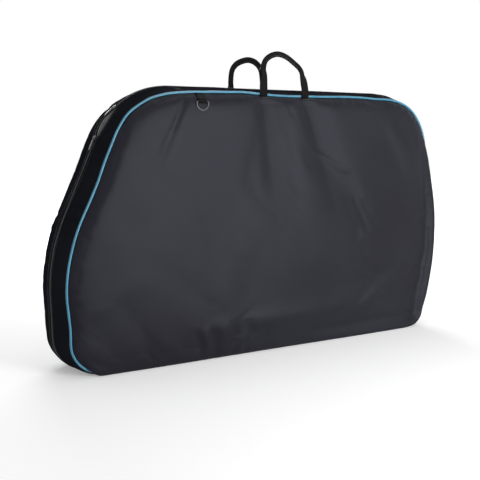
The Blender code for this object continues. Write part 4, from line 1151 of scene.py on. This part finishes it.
# Carrying handles: webbing that lies flat at its ends and is folded in two round the grip
handle = {
    "xs": {"front": 0.024 * 1.26, "back": 0.0175 * 1.26}, "spans": {"front": 0.144, "back": 0.120},
    "rise": 0.105, "low": -0.0019, "width": 0.0235, "webbing": 0.0019, "bend": 0.0013, "rootY": 0.091447,
    "rootZ": 0.741563, "steps": 96, "walk": 26, "sway": 0.0012, "gripIn": 0.0035, "gripOut": 0.0026,
    "kept": {"front": 0.66, "back": 0.74},
    "front": [(-0.50, 0.00, 1.00), (-0.51, 0.35, 0.92), (-0.53, 0.60, 0.80), (-0.48, 0.80, 0.70), (-0.35, 0.94, 0.62),
              (-0.17, 1.00, 0.62), (0.02, 0.94, 0.62), (0.20, 0.80, 0.64), (0.34, 0.65, 0.74), (0.43, 0.42, 0.90),
              (0.475, 0.20, 1.00), (0.50, 0.00, 1.00)],
    "back": [(-0.50, 0.00, 1.00), (-0.485, 0.35, 0.82), (-0.455, 0.65, 0.70), (-0.37, 0.81, 0.62), (-0.22, 0.92, 0.62),
             (0.00, 0.99, 0.62), (0.18, 0.96, 0.62), (0.31, 0.87, 0.64), (0.41, 0.73, 0.70), (0.46, 0.50, 0.76),
             (0.48, 0.25, 0.88), (0.50, 0.00, 1.00)],
}
handleFoot = {"width": 0.0245, "webbing": 0.0018, "insets": (0.0065, 0.0080, 0.0095, 0.0110), "over": 0.0005,
              "aside": 0.0006, "step": 0.003, "stitchLift": 0.0019, "sewn": 0.86}


def foldedSection(fold, kept):
    # closed outline of webbing folded over along its length, by fold from 0 to 1, with that share of it left in front
    width, half, bend = handle["width"], handle["webbing"] / 2, handle["bend"] * math.pi
    crease, steps = width * (kept - 0.5), handle["walk"]
    middle, heading, points = Vector((0, 0)), 0.0, []
    for k in range(steps + 1):
        s = width * (k / steps - 0.5)
        angle = -fold * math.pi * max(0.0, min(1.0, (s - crease + bend / 2) / bend))
        if k:
            turn = (heading + angle) / 2
            middle = middle + Vector((math.cos(turn), math.sin(turn))) * (width / steps)
        heading = angle
        points.append((middle.copy(), Vector((-math.sin(angle), math.cos(angle)))))
    outline = [p + n * half for p, n in points] + [p - n * half for p, n in reversed(points)]
    xs, ys = [p.x for p in outline], [p.y for p in outline]
    shift = Vector(((min(xs) + max(xs)) / 2, (min(ys) + max(ys)) / 2))
    return [p - shift for p in outline]


def stitchRow(centre, width, shares, facing):
    return [(centre + Vector((width * (t - 0.5), 0, 0)), facing) for t in shares]


def makeHandle(half, side):
    table, steps = handle[half], handle["steps"]
    lines = [[(k, row[i]) for k, row in enumerate(table)] for i in range(3)]
    root = Vector((handle["xs"][half], side * handle["rootY"], handle["rootZ"]))
    centres, flats = [], []
    for step in range(steps + 1):
        x, z, flatness = (smoothTable(line, (len(table) - 1) * step / steps) for line in lines)
        centres.append(Vector((x * handle["spans"][half], handle["low"] + z * handle["rise"])))
        flats.append(flatness)
    sections, uvs, grip, run = [], [], [], 0.0
    count = 2 * (handle["walk"] + 1)
    for k, (centre, flatness) in enumerate(zip(centres, flats)):
        ahead = (centres[min(k + 1, steps)] - centres[max(k - 1, 0)]).normalized()
        if k in (0, steps):
            ahead = Vector((0, 1 if k == 0 else -1))
        outward = Vector((-ahead.y, ahead.x))
        run += (centre - centres[k - 1]).length if k else 0.0
        fold = smoothStep(1.02, 0.64, flatness)
        sway = handle["sway"] * ripple(run * 14, side * 2.0)
        places = [(centre + outward * point.x, point.y) for point in foldedSection(fold, handle["kept"][half])]
        sections.append([root + Vector((place.x, side * (y + sway), place.y)) for place, y in places])
        uvs.append([(handle["width"] * (s if s < count / 2 else count - 1 - s) / (count / 2), run)
                    for s in range(count)])
        if fold > 0.93:
            place, y = centre - outward * handle["gripIn"], handle["gripOut"] + sway
            grip.append((root + Vector((place.x, side * y, place.y)), Vector((0, side, 0))))
    loop = loft(f"{half}Handle", sections, looks["webbing"], uvs)
    finished(loop, f"{half}_handle", "webbing", f"{half}_handle")
    alongPaths(half, "HandleStitching", [grip], looks["thread"], f"{half}_handle")
    for end, toward in (("left", -1), ("right", 1)):
        x = handle["xs"][half] + toward * handle["spans"][half] / 2
        along = alongTop(x)
        seam = insetPlace(side, along, 0.0)
        over, outer = piping["radius"] + handleFoot["over"], bag["halfDepth"] + handleFoot["aside"]
        points = [Vector((x, side * (handle["rootY"] - 0.0002), handle["rootZ"] + 0.0012)),
                  Vector((x, side * (handle["rootY"] - 0.0016), handle["rootZ"] - 0.0030))]
        for turn in map(math.radians, (48, 20, -8, -34)):
            points.append(Vector((x, side * (outer + over * math.cos(turn)), seam.y + over * math.sin(turn))))
        points += [panelPoint(side, x, insetPlace(side, along, inset).y, along, inset, -0.0007)
                   for inset in handleFoot["insets"]]
        sewn = strip(f"{half}HandleFoot{end.title()}", denser(points, handleFoot["step"]), handleFoot["width"],
                     handleFoot["webbing"], (0, -side, 0))
        finished(sewn, f"{half}_half", "webbing", f"{half}_handle_foot_{end}")
        near, far, lift = points[-3], points[-1], Vector((0, side * handleFoot["stitchLift"], 0))
        rows = [stitchRow(near + (far - near) * share + lift, handleFoot["width"] * handleFoot["sewn"],
                          (0, 0.25, 0.5, 0.75, 1), Vector((0, side, 0.3))) for share in (0.35, 0.85)]
        alongPaths(half, "FootStitching", rows, looks["thread"], f"{half}_half", end.title())


bothHalves(makeHandle, "handles")

# Strap rings in their tabs
strapRing = {"x": 0.198 * 1.26, "y": 0.109674, "z": 0.706, "inside": 0.032, "drop": 0.022, "wire": 0.0019,
             "straight": 0.004, "turn": 0.0022, "tab": 0.0265, "cloth": 0.0013, "sewn": 0.84,
             "insets": (0.0036, 0.006, 0.009, 0.013, 0.018)}


def makeStrapRing(half, side):
    axis = Vector((side * strapRing["x"], side * strapRing["y"], strapRing["z"]))
    reach, straight = strapRing["inside"] / 2 + strapRing["wire"], strapRing["straight"]
    bend = [math.pi * k / 18 for k in range(1, 18)]
    corners = [(-reach, 0.0), (reach, 0.0), (reach, -straight)]
    corners += [(reach * math.cos(a), -straight - (strapRing["drop"] - straight) * math.sin(a)) for a in bend]
    points = [axis + Vector((x, 0, z)) for x, z in [*corners, (-reach, -straight)]]
    path = flat(turned(points[k - 1], here, points[(k + 1) % len(points)], strapRing["turn"], 0.4, (0, 0.33, 0.67, 1))
                for k, here in enumerate(points))
    bar = closedWire(f"{half}Ring", path, strapRing["wire"], looks["ringMetal"], 12)
    finished(bar, f"{half}_ring", "plated_metal", f"{half}_ring")
    along = alongTop(axis.x)

    def onPanel(inset, depth):
        return panelPoint(side, axis.x, insetPlace(side, along, inset).y, along, inset, depth, relief=False)

    radius = strapRing["wire"] + 0.0004
    turns = [math.radians(128 - 256 * k / 12) for k in range(13)]
    loop = [axis + Vector((0, -side * radius * math.sin(t), -radius * math.cos(t))) for t in turns]
    path = [*(onPanel(inset, -0.0006) for inset in strapRing["insets"]), *loop,
            *(onPanel(inset, -0.0024) for inset in strapRing["insets"][::-1])]
    tab = strip(f"{half}RingTab", denser(path, 0.0022), strapRing["tab"], strapRing["cloth"], (0, side, 0))
    tab.modifiers["wall"].offset = 1.0
    finished(tab, f"{half}_half", "webbing", f"{half}_ring_tab")
    rows = [stitchRow(onPanel(inset, -0.0040), strapRing["tab"] * strapRing["sewn"], (0, 0.3, 0.7, 1),
                      Vector((0, side, 0.2))) for inset in (0.012, 0.0155)]
    alongPaths(half, "TabStitching", rows, looks["thread"], f"{half}_half")


bothHalves(makeStrapRing, "strap rings")

# Zip sliders and pull tabs
slider = {"length": 0.015, "width": 0.0115, "plate": 0.0014, "clearance": 0.0009, "keelDepth": 0.0040,
          "bridgeLength": 0.009, "bridgeWidth": 0.0022, "bridgeWall": 0.0011, "bridgeGap": 0.0026, "edge": 0.00028}
pull = {"length": 0.034, "width": 0.0085, "thickness": 0.0014, "eye": 0.0075, "eyeHalf": 0.0015, "axis": 0.0036,
        "edge": 0.0002}


def plateMesh(bm, outline, low, high, hole=None):
    # a flat plate with its outline in X-Y, and a hole if one is given
    edges = []
    for loop in [outline] + ([hole] if hole else []):
        ring = [bm.verts.new((x, y, low)) for x, y in loop]
        edges += [bm.edges.new((ring[k], ring[(k + 1) % len(ring)])) for k in range(len(ring))]
    filled = bmesh.ops.triangle_fill(bm, use_beauty=True, use_dissolve=True, edges=edges)["geom"]
    faces = [f for f in filled if isinstance(f, bmesh.types.BMFace)]
    raised = bmesh.ops.extrude_face_region(bm, geom=faces)["geom"]
    bmesh.ops.translate(bm, vec=(0, 0, high - low), verts=[v for v in raised if isinstance(v, bmesh.types.BMVert)])


def metalPiece(name, kind, build, place, width):
    mesh = shaped(bpy.data.meshes.new(f"{name}{kind.title()}"), build, place)
    obj = newObject(f"{name}{kind.title()}", mesh, looks["sliderMetal"])
    edges = obj.modifiers.new("edges", "BEVEL")
    edges.width, edges.segments, edges.limit_method, edges.angle_limit = width, 2, "ANGLE", math.radians(35)
    return finished(obj, f"{name}_{kind}", "plated_metal", f"{name}_{kind}")


def mirrored(points):
    return [*points, *((x, -y) for x, y in reversed(points))]


def makeSlider(name, along, way):
    def body(bm):
        top, low = slider["clearance"] + slider["plate"], -slider["keelDepth"]
        # broad and two-lobed where the two rows come in, narrower where they leave locked together
        half, reach = slider["width"] / 2, slider["length"] / 2
        lobe = [(-1, 0.55), (-0.55, 0.78), (0.1, 0.95), (0.6, 1), (0.9, 0.86), (1, 0.55), (0.93, 0.22)]
        lobe = [(x * reach * way, y * half) for x, y in lobe]
        outline = [*lobe, (0.84 * reach * way, 0.0), *((x, -y) for x, y in reversed(lobe))]
        plateMesh(bm, outline, slider["clearance"], top)
        plateMesh(bm, outline, low - slider["plate"], low)
        post = [(way * 0.0030, 0.0008), (way * 0.0060, 0.0012)]
        plateMesh(bm, mirrored(post), low - 0.0002, slider["clearance"] + 0.0002)
        # the bridge: an arch over the crossbar of the tab
        reach, wall, gap, w = (slider["bridgeLength"] / 2, slider["bridgeWall"], slider["bridgeGap"],
                               slider["bridgeWidth"] / 2)
        rings = []
        for t in (k / 12 for k in range(13)):
            x, z = -reach + 2 * reach * t, (1 - (2 * t - 1) ** 4) ** 0.6
            outer, innerZ, innerX = top - 0.0003 + z * (gap + wall), top - 0.0003 + z * gap, x * (reach - wall) / reach
            rings.append([(x, -w, outer), (x, w, outer), (innerX, w, innerZ), (innerX, -w, innerZ)])
        bridged(bm, rings)

    def tab(bm):
        half, length, bar = pull["width"] / 2, pull["length"], pull["thickness"] / 2

        def rounded(first, share, steps):
            # one long edge, the round end and the other edge
            arc = [math.pi * k / steps for k in range(steps + 1)]
            end = [(-length + half - share * half * math.sin(a), share * half * math.cos(a)) for a in arc]
            return [*first, *end, *((x, -y) for x, y in reversed(first))]

        outline = [(bar, -0.62 * half), (bar, 0.62 * half),
                   *rounded([(-0.006, 0.80 * half), (-0.5 * length, 0.92 * half)], 1.0, 10)]
        eye = [(-bar, -pull["eyeHalf"]), (-bar, pull["eyeHalf"]), (-pull["eye"], pull["eyeHalf"]),
               (-pull["eye"], -pull["eyeHalf"])]
        plateMesh(bm, outline, -bar, bar, eye)
        # a raised rim round the grip
        rim = rounded([(-0.014, 0.52 * half), (-0.5 * length, 0.60 * half)], 0.62, 8)
        plateMesh(bm, rim, bar - 0.0001, bar + 0.0004)

    metalPiece(name, "slider", body, zipFrame(along, 0.0, 0.0), slider["edge"])
    metalPiece(name, "pull", tab, zipFrame(along, 0.0, -pull["axis"]), pull["edge"])


makeSlider("lower", partedFrom, 1)
makeSlider("upper", partedTo, -1)
print("sliders made")

for helper in (stitchPiece, toothPiece):
    bpy.data.objects.remove(helper)

# Studio: pale floor, soft lights as (place, size, watts), and the camera where the photograph was taken from
lights = {"key": ((0.62, -2.55, 0.57), (1.2, 0.9), 85), "fill": ((-2.6, -2.0, 1.9), (2.0, 2.0), 8),
          "top": ((-0.1, 0.2, 3.3), (2.6, 2.6), 24), "behind": ((1.0, 3.0, 1.5), (2.0, 1.6), 85)}
studio = {"aim": (0, 0, 0.35), "room": 0.27, "floor": 0.80, "reach": 9, "near": 1.2, "far": 3.4, "glow": 0.30,
          "lens": 63.6, "sensor": 36.0, "eye": (-1.3874, -2.0794, 0.6043), "pitch": -6.7, "yaw": -32.5}


def seenDirectly(tree):
    # 1 for the camera and for what is mirrored or seen through
    rays = node(tree, "ShaderNodeLightPath").outputs
    either = calculated(tree, "MAXIMUM", rays["Is Camera Ray"], rays["Is Glossy Ray"])
    return calculated(tree, "MAXIMUM", either, rays["Is Transmission Ray"])


def makeStudio():
    far, tone = studio["reach"], studio["floor"]
    mesh = meshOf("floor", [(-far, -far, 0), (far, -far, 0), (far, far, 0), (-far, far, 0)], [(0, 1, 2, 3)])
    material, tree, shader = shaderTree("paleFloor")
    place = node(tree, "ShaderNodeTexCoord").outputs["Object"]
    grain = node(tree, "ShaderNodeTexNoise", {"Vector": place, "Scale": 2.0, "Detail": 2.0}).outputs["Fac"]
    away = node(tree, "ShaderNodeVectorMath", {0: place}, operation="LENGTH").outputs["Value"]
    glow = ranged(tree, away, studio["glow"], 1.0, studio["near"], studio["far"])
    fill(tree, shader, {
        "Base Color": mixed(tree, grain, (tone, tone, tone, 1), (tone + 0.02, tone + 0.02, tone + 0.02, 1)),
        "Roughness": 0.9, "Specular IOR Level": 0.1, "Emission Color": (1, 1, 1, 1),
        "Emission Strength": calculated(tree, "MULTIPLY", seenDirectly(tree), glow)})
    newObject("floor", mesh, material)
    scene.world = bpy.data.worlds.new("room")
    scene.world.use_nodes = True
    tree = scene.world.node_tree
    level = ranged(tree, seenDirectly(tree), studio["room"], 1.0, 0.0, 1.0)
    fill(tree, tree.nodes["Background"], {"Color": (1, 1, 1, 1), "Strength": level})
    for name, (spot, size, power) in lights.items():
        light = bpy.data.lights.new(name, "AREA")
        light.shape, light.energy = "RECTANGLE", power
        light.size, light.size_y = size
        lamp = linked(name, light)
        lamp.location = spot
        lamp.rotation_euler = (Vector(studio["aim"]) - Vector(spot)).to_track_quat("-Z", "Y").to_euler()
    camera = linked("camera", bpy.data.cameras.new("camera"))
    camera.data.lens, camera.data.sensor_width = studio["lens"], studio["sensor"]
    camera.location = studio["eye"]
    camera.rotation_euler = (math.radians(90 + studio["pitch"]), 0, math.radians(studio["yaw"]))
    scene.camera = camera
    scene.view_settings.view_transform = "Standard"


makeStudio()
print("studio made")
